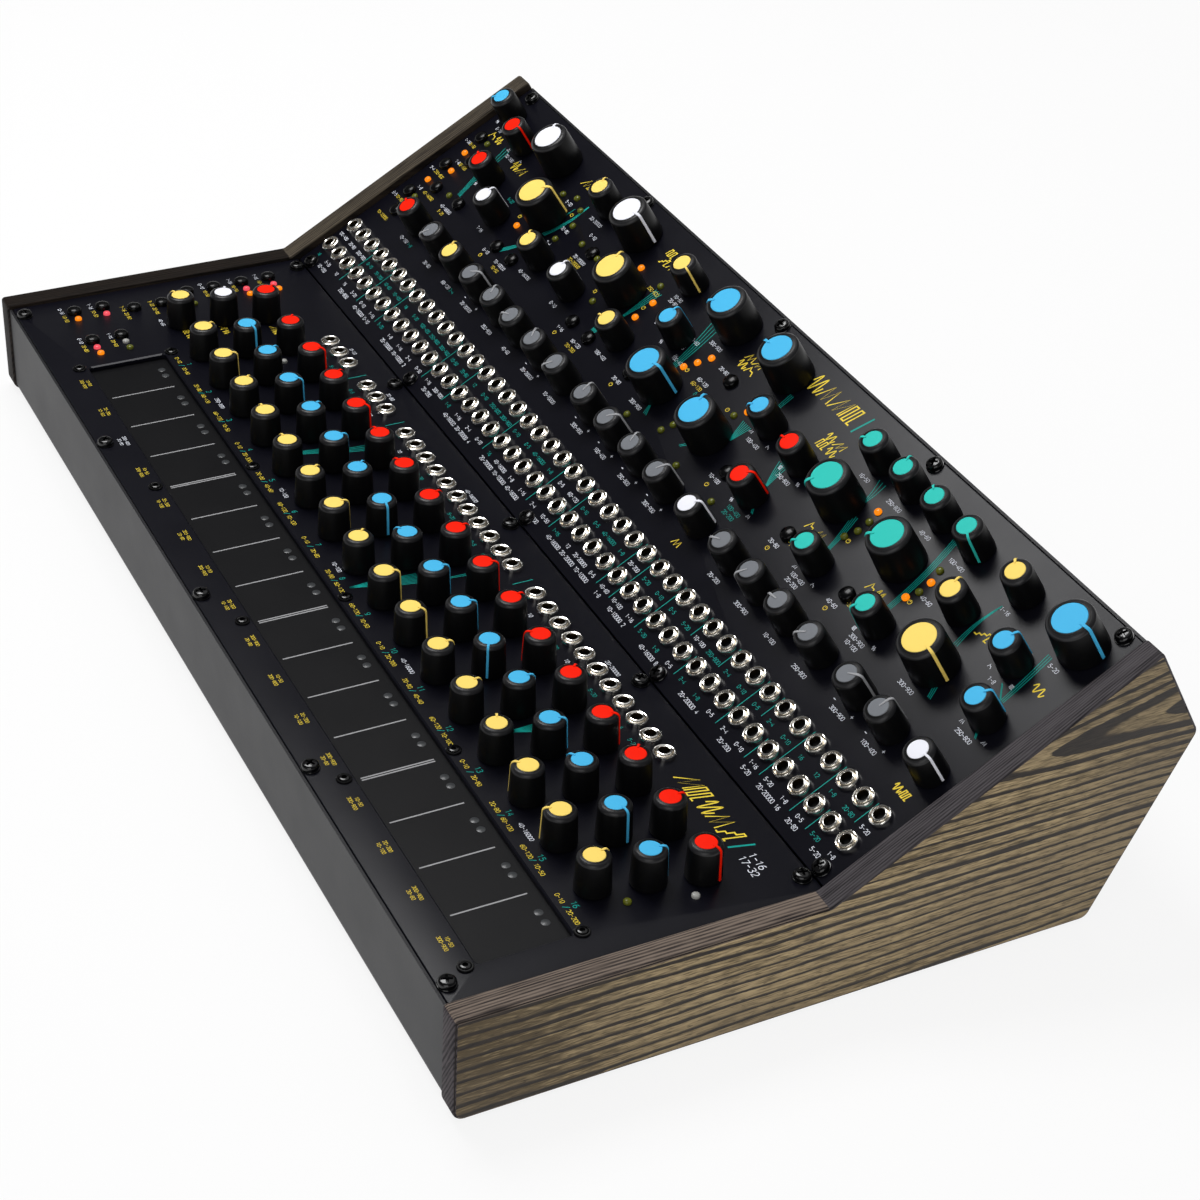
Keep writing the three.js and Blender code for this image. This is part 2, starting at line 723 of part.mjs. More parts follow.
// Scene graph
const group = new THREE.Group();
const lowerFrame = new THREE.Group();
const upperFrame = new THREE.Group();
const backWallFrame = new THREE.Group();
lowerFrame.position.set(-panelWidth / 2, 0, restHeight);
upperFrame.position.set(0, seamY, 0);
upperFrame.rotation.x = upperTilt;
backWallFrame.applyMatrix4(backWallMatrix());
lowerFrame.add(upperFrame, backWallFrame);
group.add(lowerFrame);

function add(parent, name, geometry, material, x = 0, y = 0, z = 0) {
  const mesh = new THREE.Mesh(geometry, material);
  mesh.name = name;
  mesh.position.set(x, y, z);
  parent.add(mesh);
  return mesh;
}

// Case, panels and rails
add(lowerFrame, 'left_cheek', cheekGeometry(), wood, -seatGap - cheekThickness + cheekEdgeRound);
add(lowerFrame, 'right_cheek', cheekGeometry(), wood, panelWidth + seatGap + cheekEdgeRound);
add(lowerFrame, 'case_tray', caseTrayGeometry(), blackSteel);
add(lowerFrame, 'lower_panel', lowerPanelGeometry(), blackPanel);
add(upperFrame, 'upper_panel', upperPanelGeometry(), blackPanel);
add(lowerFrame, 'touch_plate', touchPlateGeometry(), touchCoat);
const railTop = -(panelThickness + seatGap);
const backRailY = panelDepth - railEdgeGap - railWidth;
for (const [frame, level] of [[lowerFrame, 'lower'], [upperFrame, 'upper']]) {
  add(frame, `${level}_front_rail`, railGeometry(), aluminium, 0, railEdgeGap, railTop);
  add(frame, `${level}_back_rail`, railGeometry(), aluminium, 0, backRailY, railTop);
}

// Electronics
add(lowerFrame, 'lower_board', lowerBoardGeometry(), boardGreen);
add(upperFrame, 'upper_board', upperBoardGeometry(), boardGreen);
add(lowerFrame, 'power_board', powerBoardGeometry(), boardGreen);
const ribbonLeft = (x) => x - ribbonWidth / 2;
add(lowerFrame, 'lower_ribbon', ribbonGeometry(lowerRibbonPath()), ribbonGrey, ribbonLeft(lowerRibbonX));
add(lowerFrame, 'upper_ribbon', ribbonGeometry(upperRibbonPath()), ribbonGrey, ribbonLeft(upperRibbonX));
add(backWallFrame, 'power_inlet', inletGeometry(), blackPlastic, inletX);
add(backWallFrame, 'switch_bezel', switchBezelGeometry(), blackPlastic, switchX);
const rocker = add(backWallFrame, 'power_rocker', rockerGeometry(), blackPlastic, switchX);
rocker.position.z = bezelFace - rockerPivotDrop;
rocker.rotation.y = rockerTilt;

// Feet, one near each corner of the floor
const footPlaces = [
  ['front_left_foot', footInsetX, footInsetFront],
  ['front_right_foot', panelWidth - footInsetX, footInsetFront],
  ['rear_left_foot', footInsetX, cheekBottomRun - footInsetRear],
  ['rear_right_foot', panelWidth - footInsetX, cheekBottomRun - footInsetRear],
];
for (const [name, x, y] of footPlaces) add(lowerFrame, name, footGeometry(), footRubber, x, y, -restHeight);

// Knobs that turn, each set to its pointer's angle
const numbered = (prefix, i) => `${prefix}_${String(i + 1).padStart(2, '0')}`;

function addKnob(frame, name, knob, [x, y], turn) {
  const mesh = add(frame, name, knobGeometry(knob), softBlack, x, y);
  mesh.rotation.z = THREE.MathUtils.degToRad(turn);
}

liveLowerKnobs.forEach((spot, i) => {
  addKnob(lowerFrame, numbered('lower_knob', i), smallKnob, spot, lowerKnobTurns[i]);
});
largeKnobShares.forEach((share, i) => {
  addKnob(upperFrame, numbered('large_knob', i), largeKnob, place(share), share[2]);
});
turningKnobShares.forEach((share, i) => {
  addKnob(upperFrame, numbered('upper_knob', i), smallKnob, place(share), share[2]);
});

// Push buttons that travel
liveLowerButtons.forEach(([x, y], i) => {
  add(lowerFrame, numbered('lower_button', i), pushButton(), blackPlastic, x, y);
});
liveUpperButtons.forEach(([x, y], i) => {
  add(upperFrame, numbered('upper_button', i), pushButton(), blackPlastic, x, y);
});

// Centre the whole on x and y, with its feet on the ground
const bounds = new THREE.Box3().setFromObject(group, true);
lowerFrame.position.y -= (bounds.min.y + bounds.max.y) / 2;

export default group;
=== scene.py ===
"""Looks of a desktop modular synthesizer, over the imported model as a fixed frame.

Sizes are in millimetres in the frame of the panel or the case that carries a piece, and become
metres when a piece is placed. In a panel's frame x runs along it, y up it and z out of its face.
"""

from __future__ import annotations

import json
import logging
import math
from dataclasses import dataclass, field, replace
from enum import Enum
from typing import Callable, Sequence

import bpy
import numpy as np
from mathutils import Matrix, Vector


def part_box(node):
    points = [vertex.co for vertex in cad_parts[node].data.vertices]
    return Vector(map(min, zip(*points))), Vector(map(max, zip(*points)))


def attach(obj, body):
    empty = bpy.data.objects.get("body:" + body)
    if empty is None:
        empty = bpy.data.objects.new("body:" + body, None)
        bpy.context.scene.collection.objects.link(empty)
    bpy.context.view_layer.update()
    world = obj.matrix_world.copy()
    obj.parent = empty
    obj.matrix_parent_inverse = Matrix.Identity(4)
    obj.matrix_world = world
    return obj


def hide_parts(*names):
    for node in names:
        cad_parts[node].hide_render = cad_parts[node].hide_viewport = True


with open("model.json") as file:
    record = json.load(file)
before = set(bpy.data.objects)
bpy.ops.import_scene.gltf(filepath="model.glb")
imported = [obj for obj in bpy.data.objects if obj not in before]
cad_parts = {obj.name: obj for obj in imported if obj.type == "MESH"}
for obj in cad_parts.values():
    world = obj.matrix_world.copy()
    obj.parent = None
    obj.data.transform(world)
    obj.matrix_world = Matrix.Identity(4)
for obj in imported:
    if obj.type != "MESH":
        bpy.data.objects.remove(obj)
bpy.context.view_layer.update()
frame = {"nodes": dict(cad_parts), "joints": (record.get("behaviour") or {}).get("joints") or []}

log = logging.getLogger("synthesizer")
Array = np.ndarray
Pair = tuple[float, float]
Triple = tuple[float, float, float]
Colour = tuple[float, float, float, float]
MM = 0.001
CASE = "case"


def linear(red: int, green: int, blue: int) -> Colour:
    """A colour as a shader reads it, from its usual 0 to 255 values."""
    parts = np.array([red, green, blue]) / 255
    curve = np.where(parts <= 0.04045, parts / 12.92, ((parts + 0.055) / 1.055) ** 2.4)
    return (*curve.tolist(), 1.0)


def scaled(colour: Colour, factor: float, more: float = 0.0) -> Colour:
    """A colour times a factor, plus a little, held at one."""
    return (*(min(part * factor + more, 1.0) for part in colour[:3]), 1.0)


def unit(vectors: Array) -> Array:
    """Vectors brought to length one."""
    return vectors / np.linalg.norm(vectors, axis=-1, keepdims=True)


def extended(points: Array, height: float) -> Array:
    """Points with one more part, which is the same for all."""
    return np.column_stack([points, np.full(len(points), height)])


# Surfaces ------------------------------------------------------------------------------------


@dataclass(frozen=True)
class Shape:
    """A surface: points (n, 3), all faces' corners in a row, each face's corner count and slot."""

    points: Array
    corners: Array
    counts: Array
    slots: Array

    def in_slot(self, slot: int) -> Shape:
        """The same surface with every face in one material slot."""
        return Shape(self.points, self.corners, self.counts, np.full(len(self.counts), slot))

    def moved(self, x: float, y: float, z: float = 0.0) -> Shape:
        """The same surface, moved."""
        return Shape(self.points + (x, y, z), self.corners, self.counts, self.slots)

    def stamped(self, places: Array, turns: Array | None = None) -> Shape:
        """Copies the surface to many places at once.

        A copy's points are the first one's, turned about z by its angle and moved to its place.

        Args:
            places: Places (k, 2) or (k, 3) of the copies.
            turns: Their angles in degrees, or none for no turn.

        Returns:
            One surface that holds all copies.
        """
        places = np.asarray(places, float)
        if places.shape[1] == 2:
            places = extended(places, 0.0)
        angles = np.radians(np.zeros(len(places)) if turns is None else np.asarray(turns, float))
        x, y, z = self.points.T
        cos, sin = np.cos(angles)[:, None], np.sin(angles)[:, None]
        turned_points = np.stack([cos * x - sin * y, sin * x + cos * y, z + 0 * cos], axis=2)
        points = (turned_points + places[:, None, :]).reshape(-1, 3)
        shift = np.arange(len(places))[:, None] * len(self.points)
        return Shape(points, (shift + self.corners).ravel(),
                     np.tile(self.counts, len(places)), np.tile(self.slots, len(places)))


def joined(shapes: Sequence[Shape]) -> Shape:
    """Puts several surfaces into one, each with its own slots."""
    shifts = np.cumsum([0] + [len(shape.points) for shape in shapes[:-1]])
    return Shape(
        np.concatenate([shape.points for shape in shapes]),
        np.concatenate([shape.corners + shift for shape, shift in zip(shapes, shifts)]),
        np.concatenate([shape.counts for shape in shapes]),
        np.concatenate([shape.slots for shape in shapes]),
    )


def surface(points: Array, faces: Sequence[Array], slots: Sequence[int] | None = None) -> Shape:
    """Gathers blocks of faces over one set of points.

    Args:
        points: The points (n, 3).
        faces: Blocks of faces, each an array (m, corners).
        slots: The material slot of each block, 0 when left out.
    """
    slots = slots or [0] * len(faces)
    return Shape(
        np.asarray(points, float),
        np.concatenate([block.ravel() for block in faces]),
        np.concatenate([np.full(len(block), block.shape[1]) for block in faces]),
        np.concatenate([np.full(len(block), slot) for block, slot in zip(faces, slots)]),
    )


def ring_faces(rings: int, sides: int) -> Array:
    """The four-sided faces between neighbouring rings of points, ring by ring."""
    ring, side = np.meshgrid(np.arange(rings - 1), np.arange(sides), indexing="ij")
    here, after = ring * sides + side, ring * sides + (side + 1) % sides
    return np.stack([here, after, after + sides, here + sides], axis=-1).reshape(-1, 4)


def turned(profile: Sequence[Pair], sides: int,
           slots: Sequence[int] | None = None, lift: Array | None = None) -> Shape:
    """A surface of revolution about z.

    The point at ring i and angle a is (radius_i cos a, radius_i sin a, height_i + lift_i(a)), and a
    profile that starts or ends on the axis is closed there by a fan about one point.

    Args:
        profile: Radius and height of each ring, so run that the outside lies on its right.
        sides: Points in a ring.
        slots: Material slot of each band between two rings, 0 when left out.
        lift: Heights (rings, sides) added to the rings, the points on the axis left out.
    """
    rows = np.asarray(profile, float)
    bands = list(slots or [0] * (len(rows) - 1))
    low, high = rows[0][0] == 0, rows[-1][0] == 0
    body = rows[int(low):len(rows) - int(high)]
    angles = np.arange(sides) * (2 * np.pi / sides)
    heights = body[:, 1:2] + (0 if lift is None else lift) + 0 * angles
    rings = np.stack([body[:, :1] * np.cos(angles), body[:, :1] * np.sin(angles), heights], axis=-1)
    points = [rings.reshape(-1, 3)]
    faces = list(ring_faces(len(body), sides).reshape(-1, sides, 4))
    kinds = bands[int(low):int(low) + len(faces)]
    step, side = np.arange(sides), (np.arange(sides) + 1) % sides
    count = len(body) * sides
    if low:
        points.append([[0, 0, rows[0][1]]])
        faces.append(np.stack([np.full(sides, count), side, step], axis=-1))
        kinds.append(bands[0])
        count += 1
    if high:
        points.append([[0, 0, rows[-1][1]]])
        top = (len(body) - 1) * sides
        faces.append(np.stack([top + step, top + side, np.full(sides, count)], axis=-1))
        kinds.append(bands[-1])
    return surface(np.concatenate(points), faces, kinds)


def crown(radius: float, low: float, rise: float, count: int) -> list[Pair]:
    """A quarter of an ellipse as a profile, from its rim at the low height up to the axis."""
    sweep = np.radians(np.linspace(0, 90, count))
    return [(radius * math.cos(a) if a < 1.57 else 0, low + rise * math.sin(a)) for a in sweep]


def ribbon(path: Array, width: float | Array, height: float = 0.0) -> Shape:
    """A flat strip along a path in the panel.

    Its two edges are the path moved along the mitred normal by half the width to either side.

    Args:
        path: Points (n, 2).
        width: One width, or one for each point.
        height: Height of the strip over the panel.
    """
    path = np.asarray(path, float)
    steps = unit(np.diff(path, axis=0))
    normals = np.column_stack([-steps[:, 1], steps[:, 0]])
    before, after = np.vstack([normals[:1], normals]), np.vstack([normals, normals[-1:]])
    mitre = before + after
    mitre /= np.maximum((mitre * before).sum(axis=1), 0.6)[:, None]
    half = mitre * np.broadcast_to(np.asarray(width) / 2, len(path))[:, None]
    points = extended(np.concatenate([path - half, path + half]), height)
    i = np.arange(len(path) - 1)
    return surface(points, [np.stack([i, i + 1, i + 1 + len(path), i + len(path)], axis=-1)])


def rounded_loop(corners: Sequence[Triple], steps: int = 6) -> tuple[Array, Array]:
    """A polygon's outline with its corners rounded, and its outward normals.

    Each corner becomes the arc of its radius that touches both sides; the polygon runs with the
    clock reversed, so the normal is the direction of travel turned to the right.

    Args:
        corners: x, y and radius of each corner.
        steps: Points on each arc, less one.
    """
    rows = np.asarray(corners, float)
    here, radius = rows[:, :2], rows[:, 2]
    to_last, to_next = (unit(np.roll(here, step, axis=0) - here) for step in (1, -1))
    half = np.arccos(np.clip((to_last * to_next).sum(axis=1), -1, 1)) / 2
    centre = here + unit(to_last + to_next) * (radius / np.sin(half))[:, None]
    out_start = np.column_stack([-to_last[:, 1], to_last[:, 0]])
    out_end = np.column_stack([to_next[:, 1], -to_next[:, 0]])
    bend = np.sign(out_start[:, 0] * out_end[:, 1] - out_start[:, 1] * out_end[:, 0])
    turn = np.linspace(0, 1, steps + 1)[None, :] * (np.pi - 2 * half)[:, None] * bend[:, None]
    cos, sin = np.cos(turn), np.sin(turn)
    normals = np.stack([cos * out_start[:, :1] - sin * out_start[:, 1:],
                        sin * out_start[:, :1] + cos * out_start[:, 1:]], axis=-1)
    points = centre[:, None, :] + normals * (radius * bend)[:, None, None]
    return points.reshape(-1, 2), normals.reshape(-1, 2)


def slab(outer: Array, outer_normals: Array, low: float, high: float, edge: float,
         inner: Array | None = None, bevel: float = 0.0) -> Shape:
    """A flat plate with a softened upper edge, and with an opening if an inner loop is given.

    The wall rises straight from low, then follows a quarter circle of the edge's radius inward, and
    the faces between the outer and the inner loop, or one flat face, close it.

    Args:
        outer: The outline (n, 2), run with the clock reversed.
        outer_normals: Its outward normals.
        low: Height of the underside.
        high: Height of the top.
        edge: Radius of the upper edge.
        inner: The opening's outline, with as many points as the outer one, its last side the left one.
        bevel: Width of the slope round the opening's upper edge; its left side is in slot 1, which carries a
            painted highlight.
    """
    sweep = np.linspace(0, np.pi / 2, 4)
    insets = np.concatenate([[0], edge * (1 - np.cos(sweep))])
    heights = np.concatenate([[low], high - edge + edge * np.sin(sweep)])
    rings = [extended(outer - outer_normals * inset, height) for inset, height in zip(insets, heights)]
    count = len(outer)
    if inner is None:
        walls, loop = ring_faces(len(rings), count), np.arange(count)[None, :]
        return surface(np.concatenate(rings), [walls, (len(rings) - 1) * count + loop, loop[:, ::-1]])
    wide = inner + np.sign(inner - inner.mean(axis=0)) * bevel
    rings += [extended(wide, high), extended(inner, high - bevel), extended(inner, low), rings[0]]
    shape = surface(np.concatenate(rings), [ring_faces(len(rings), count)])
    slope = len(rings) - 4
    # The opening's left side goes to slot 1, for a paler painted highlight on that cut edge.
    shape.slots[(slope + 1) * count - 1] = 1
    return shape


# Places --------------------------------------------------------------------------------------


@dataclass(frozen=True)
class PanelFrame:
    """A frame whose x runs along the panel, y up it and z out of it, in millimetres."""

    origin: Array
    out: Array

    @classmethod
    def on(cls, joint: dict, sense: int = 1) -> PanelFrame:
        """The frame at a joint, whose z is the joint's axis, or against it where sense is -1."""
        return cls(np.array(joint["pos_m"], float), sense * np.array(joint["axis"], float))

    @classmethod
    def through(cls, name: str, x: float, y: float) -> PanelFrame:
        """The panel's frame, from the axis of a knob that stands at x and y on it."""
        at = cls.on(joint_named(name))
        return cls(at.place(np.array([[-x, -y, 0.0]]))[0], at.out)

    def place(self, points: Array) -> Array:
        """The points in the row's metres."""
        across = np.array([1.0, 0.0, 0.0])
        axes = np.stack([across, np.cross(self.out, across), self.out])
        return self.origin + points @ axes * MM


def joint_named(name: str) -> dict:
    """One joint of the CAD frame."""
    return next(joint for joint in frame["joints"] if joint["name"] == name)


def link(name: str, data: bpy.types.ID) -> bpy.types.Object:
    """Makes an object from its data and adds it to the scene."""
    made = bpy.data.objects.new(name, data)
    bpy.context.scene.collection.objects.link(made)
    return made


def build(name: str, shape: Shape, place: Callable[[Array], Array], finishes: Sequence[Finish],
          body: str = CASE, stands_for: Sequence[str] = (),
          crease: float = 35.0) -> None:
    """Makes a surface a piece of the scene.

    Args:
        name: The piece's name.
        shape: Its surface, in the frame that place reads.
        place: Takes points to the row's metres.
        finishes: One for each material slot of the surface.
        body: The CAD body that it rides on.
        stands_for: CAD nodes that it replaces.
        crease: Angle in degrees above which an edge stays sharp.
    """
    mesh = bpy.data.meshes.new(name)
    mesh.vertices.add(len(shape.points))
    mesh.vertices.foreach_set("co", place(shape.points).ravel())
    mesh.loops.add(len(shape.corners))
    mesh.loops.foreach_set("vertex_index", shape.corners.astype(np.int32))
    mesh.polygons.add(len(shape.counts))
    mesh.polygons.foreach_set("loop_start", (np.cumsum(shape.counts) - shape.counts).astype(np.int32))
    mesh.polygons.foreach_set("material_index", shape.slots.astype(np.int32))
    mesh.update(calc_edges=True)
    mesh.polygons.foreach_set("use_smooth", np.ones(len(shape.counts), bool))
    mesh.set_sharp_from_angle(angle=math.radians(crease))
    for finish in finishes:
        mesh.materials.append(finish.material())
    piece = link(name, mesh)
    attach(piece, body)
    if stands_for:
        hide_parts(*stands_for)
    log.info("%s: %d faces on %s", name, len(shape.counts), body)


def in_metres(points: Array) -> Array:
    """Points of the row's own frame, from millimetres."""
    return points * MM


# Shader graphs -------------------------------------------------------------------------------


class Value:
    """A number that varies over a surface: it wraps a socket, and arithmetic on it adds Math nodes."""

    def __init__(self, graph: Graph, socket: bpy.types.NodeSocket) -> None:
        """Wraps a socket of a graph."""
        self.graph, self.socket = graph, socket

    def maths(self, operation: str, first: Value | float, second: Value | float = 0.0) -> Value:
        """The result of one Math node."""
        node = self.graph.node("ShaderNodeMath", {"operation": operation}, {0: first, 1: second})
        return Value(self.graph, node.outputs[0])

    def __add__(self, other: Value | float) -> Value:
        """This value and another, added."""
        return self.maths("ADD", self, other)

    def __sub__(self, other: Value | float) -> Value:
        """This value less another."""
        return self.maths("SUBTRACT", self, other)

    def __rsub__(self, other: float) -> Value:
        """A number less this value."""
        return self.maths("SUBTRACT", other, self)

    def __mul__(self, other: Value | float) -> Value:
        """This value times another."""
        return self.maths("MULTIPLY", self, other)

    def __pow__(self, other: float) -> Value:
        """This value to a power."""
        return self.maths("POWER", self, other)

    __radd__, __rmul__ = __add__, __mul__

    def fraction(self) -> Value:
        """What is left of this value over the whole number below it."""
        return self.maths("FRACT", self)

    def floor(self) -> Value:
        """The whole number below this value."""
        return self.maths("FLOOR", self)

    def rise(self, low: float, high: float) -> Value:
        """A smooth step from 0 at low to 1 at high."""
        node = self.graph.node("ShaderNodeMapRange", {"interpolation_type": "SMOOTHSTEP"},
                               {0: self, 1: low, 2: high})
        return Value(self.graph, node.outputs[0])


class Graph:
    """The node graph of a material or of the world."""

    def __init__(self, owner: bpy.types.Material | bpy.types.World) -> None:
        """Starts from the owner's own shader and output."""
        owner.use_nodes = True
        self.tree = owner.node_tree
        self.output, self.shader = sorted(self.tree.nodes, key=lambda node: "OUTPUT" not in node.type)

    def feed(self, node: bpy.types.Node, inputs: dict) -> None:
        """Sets a node's sockets, each to a number or colour or to a link."""
        for key, value in inputs.items():
            socket = value.socket if isinstance(value, Value) else value
            if isinstance(socket, bpy.types.NodeSocket):
                self.tree.links.new(socket, node.inputs[key])
            else:
                node.inputs[key].default_value = value

    def node(self, kind: str, settings: dict | None = None, inputs: dict | None = None) -> bpy.types.Node:
        """Adds a node.

        Args:
            kind: Its type.
            settings: Its own settings, set before its sockets.
            inputs: Numbers, colours or links of its sockets, by name or place.
        """
        node = self.tree.nodes.new(kind)
        for key, value in (settings or {}).items():
            setattr(node, key, value)
        self.feed(node, inputs or {})
        return node

    def coordinates(self, stretch: Triple = (1, 1, 1), turn: Triple = (0, 0, 0)) -> bpy.types.NodeSocket:
        """Object coordinates in millimetres, turned by angles in degrees and then stretched."""
        at = self.node("ShaderNodeTexCoord").outputs["Object"]
        if any(turn):
            angles = tuple(math.radians(angle) for angle in turn)
            at = self.node("ShaderNodeMapping", {}, {"Vector": at, "Rotation": angles}).outputs[0]
        scale = tuple(1000 * part for part in stretch)
        return self.node("ShaderNodeMapping", {}, {"Vector": at, "Scale": scale}).outputs[0]

    def noise(self, size: float, stretch: Triple = (1, 1, 1), detail: float = 2.0,
              turn: Triple = (0, 0, 0)) -> Value:
        """Noise of a grain size in millimetres, drawn out along an axis where stretch is small."""
        inputs = {"Vector": self.coordinates(stretch, turn), "Scale": 1 / size, "Detail": detail}
        return Value(self, self.node("ShaderNodeTexNoise", {}, inputs).outputs[0])

    def noise_along(self, value: Value, seed: float) -> Value:
        """Noise that follows one value only, so that whole lines of a pattern share it."""
        at = self.node("ShaderNodeCombineXYZ", {}, {0: value, 1: seed}).outputs[0]
        return Value(self, self.node("ShaderNodeTexNoise", {}, {"Vector": at, "Scale": 1.0}).outputs[0])

    def axis(self, vector: bpy.types.NodeSocket, index: int) -> Value:
        """One part of a vector."""
        return Value(self, self.node("ShaderNodeSeparateXYZ", {}, {0: vector}).outputs[index])

    def blend(self, factor: Value, first: object, second: object) -> bpy.types.NodeSocket:
        """A colour between two others."""
        node = self.node("ShaderNodeMix", {"data_type": "RGBA"}, {0: factor, 6: first, 7: second})
        return node.outputs[2]

    def bump(self, height: Value, depth: float, strength: float = 1.0) -> bpy.types.NodeSocket:
        """A normal from a height of up to depth millimetres."""
        inputs = {"Height": height, "Distance": depth * MM, "Strength": strength}
        return self.node("ShaderNodeBump", {}, inputs).outputs[0]

    def shade(self, **inputs: object) -> None:
        """Sets the shader's sockets; an underscore stands for a space."""
        self.feed(self.shader, {key.replace("_", " "): value for key, value in inputs.items()})


# Finishes ------------------------------------------------------------------------------------


@dataclass(frozen=True)
class Finish:
    """A surface finish, made into a material once."""

    name: str

    def material(self) -> bpy.types.Material:
        """The finish's material, new or already made."""
        found = bpy.data.materials.get(self.name)
        if found:
            return found
        made = bpy.data.materials.new(self.name)
        self.paint(Graph(made))
        return made

    def paint(self, graph: Graph) -> None:
        """Lays out the finish's nodes."""
        raise NotImplementedError


@dataclass(frozen=True)
class Moulded(Finish):
    """Moulded or painted stuff with fine grain, small changes of tone and a little uneven gloss."""

    colour: Colour = (0.0, 0.0, 0.0, 1.0)
    roughness: float = 0.5
    grain: float = 0.4
    depth: float = 0.02
    variation: float = 0.12
    specular: float = 0.5
    coat: float = 0.0

    def paint(self, graph: Graph) -> None:
        """Tone and gloss follow broad noise, and the bump follows fine noise."""
        broad = graph.noise(22.0, detail=3.0)
        fine = graph.noise(self.grain, detail=2.0)
        darker, lighter = (scaled(self.colour, 1 + change) for change in (-self.variation, self.variation))
        graph.shade(Base_Color=graph.blend(broad * 0.6 + fine * 0.4, darker, lighter),
                    Roughness=broad * 0.1 + (self.roughness - 0.05),
                    Specular_IOR_Level=self.specular, Coat_Weight=self.coat, Coat_Roughness=0.15,
                    Normal=graph.bump(fine, self.depth, 0.5))


@dataclass(frozen=True)
class Metal(Finish):
    """Bare or plated metal with fine turning marks."""

    colour: Colour = (0.8, 0.8, 0.8, 1.0)
    roughness: float = 0.2
    wear: float = 1.0

    def paint(self, graph: Graph) -> None:
        """Roughness follows noise, and a slight bump breaks up reflections, both by the wear."""
        fine = graph.noise(0.6, detail=3.0)
        broad = graph.noise(7.0)
        dull = scaled(self.colour, 1 - 0.2 * self.wear)
        graph.shade(Base_Color=graph.blend(broad, dull, self.colour), Metallic=1.0,
                    Roughness=fine * 0.12 * self.wear + (self.roughness - 0.06 * self.wear),
                    Normal=graph.bump(fine, 0.004, 0.2 * self.wear))


@dataclass(frozen=True)
class Lens(Finish):
    """The lens of a small lamp, lit when its glow is above zero."""

    colour: Colour = (1.0, 0.5, 0.1, 1.0)
    glow: float = 0.0
    unlit_share: float = 0.15

    def paint(self, graph: Graph) -> None:
        """The lens is a little cloudier in places, and a lit one shines in its own colour."""
        cloud = graph.noise(1.2)
        plain = scaled(self.colour, self.unlit_share if self.glow else 1.0)
        pale = scaled(plain, 1.15, 0.01)
        graph.shade(Base_Color=graph.blend(cloud, plain, pale), Roughness=cloud * 0.1 + 0.15,
                    Emission_Color=self.colour, Emission_Strength=self.glow, Specular_IOR_Level=0.3)


@dataclass(frozen=True)
class StainedAsh(Finish):
    """A cheek's broad face: olive-brown ash whose open rings took a near-black stain.

    The ring field is the root of the squared height under a rising axis line plus a squared
    half-width, less a taper towards the back, so that rings run level at the bottom and arch round
    the axis in the upper back corner. A ring is a whole step of that field over the spacing.
    """

    spacing: float = 4.05
    apex: Pair = (58.0, 79.0)
    rise: float = 0.08
    taper: float = 0.113
    bend: float = 0.001
    half_width: float = 6.2

    def rings(self, graph: Graph) -> Value:
        """The ring field with its sway, in rings."""
        at = graph.coordinates()
        along = graph.axis(at, 1) - self.apex[0]
        under = along * self.rise + self.apex[1] - graph.axis(at, 2)
        arch = (under * under + self.half_width ** 2) ** 0.5
        bare = arch - along * self.taper + under * along * self.bend
        for size, drawn, detail, reach in ((48.0, 0.7, 1.0, 3.4), (9.0, 0.3, 2.0, 0.9), (1.9, 0.35, 1.0, 0.45)):
            bare = bare + self.grain(graph, size, drawn, detail) * reach
        uneven = graph.noise_along(bare * 0.13, 3.7) * 4.2
        return (bare + uneven) * (1 / self.spacing)

    def grain(self, graph: Graph, size: float, drawn: float, detail: float) -> Value:
        """Noise over the face, drawn out along the board where drawn is small."""
        return graph.noise(size, (0.0, drawn, 1.0), detail=detail)

    def paint(self, graph: Graph) -> None:
        """Dark bands that are soft above and sharp below, with fibre streaks and pores, and painted shade that
        darkens the front end.
        """
        rings = self.rings(graph)
        phase, count = rings.fraction(), rings.floor()
        odd = graph.noise_along(count * 3.13, 9.1).rise(0.35, 0.65)
        thin = self.grain(graph, 11.0, 0.3, 1.0).rise(0.35, 0.7)
        reach = odd * 0.12 + thin * 0.12 + (1 - rings.rise(1.0, 6.0)) * 0.18
        band = (phase + reach).rise(0.66, 0.96) * (1 - phase.rise(0.965, 1.0))
        fibre = self.grain(graph, 0.62, 0.09, 4.0)
        broad = self.grain(graph, 3.4, 0.07, 2.0)
        patches = self.grain(graph, 42.0, 0.6, 1.0)
        pores = self.grain(graph, 0.42, 0.11, 1.0).rise(0.6, 0.72)
        at = graph.coordinates()
        along, up = graph.axis(at, 1), graph.axis(at, 2)
        # Painted shade: the pale wood is darker at the front end and lightens from y = -128 to -50 mm.
        painted_front_shade_fade = along.rise(-128.0, -50.0)
        light = fibre * 0.8 + broad * 0.35 + patches * 0.25 - 0.31 + painted_front_shade_fade * 0.22
        pale = graph.blend(light.rise(0.36, 0.8), linear(82, 70, 50), linear(190, 168, 128))
        pale = graph.blend((patches + phase * 0.2).rise(0.42, 0.8) * 0.45, pale, linear(106, 94, 78))
        dark = graph.blend(fibre.rise(0.3, 0.7), linear(27, 23, 21), linear(53, 45, 38))
        depth = band * (odd * 0.14 + 0.86) * (fibre * 0.3 + 0.84)
        stained = graph.blend(depth.rise(0.06, 0.8), pale, dark)
        back_corner = (along + up).rise(120.0, 200.0)
        stained = graph.blend(back_corner * 0.35, stained, linear(56, 53, 51))
        speck = pores * (phase * 0.6 + 0.36)
        graph.shade(Base_Color=graph.blend(speck, stained, linear(34, 30, 27)),
                    Roughness=0.62 - band * 0.12, Specular_IOR_Level=0.25,
                    Normal=graph.bump(1 - band * 0.6 - speck * 0.4 + fibre * 0.3, 0.12, 0.7))


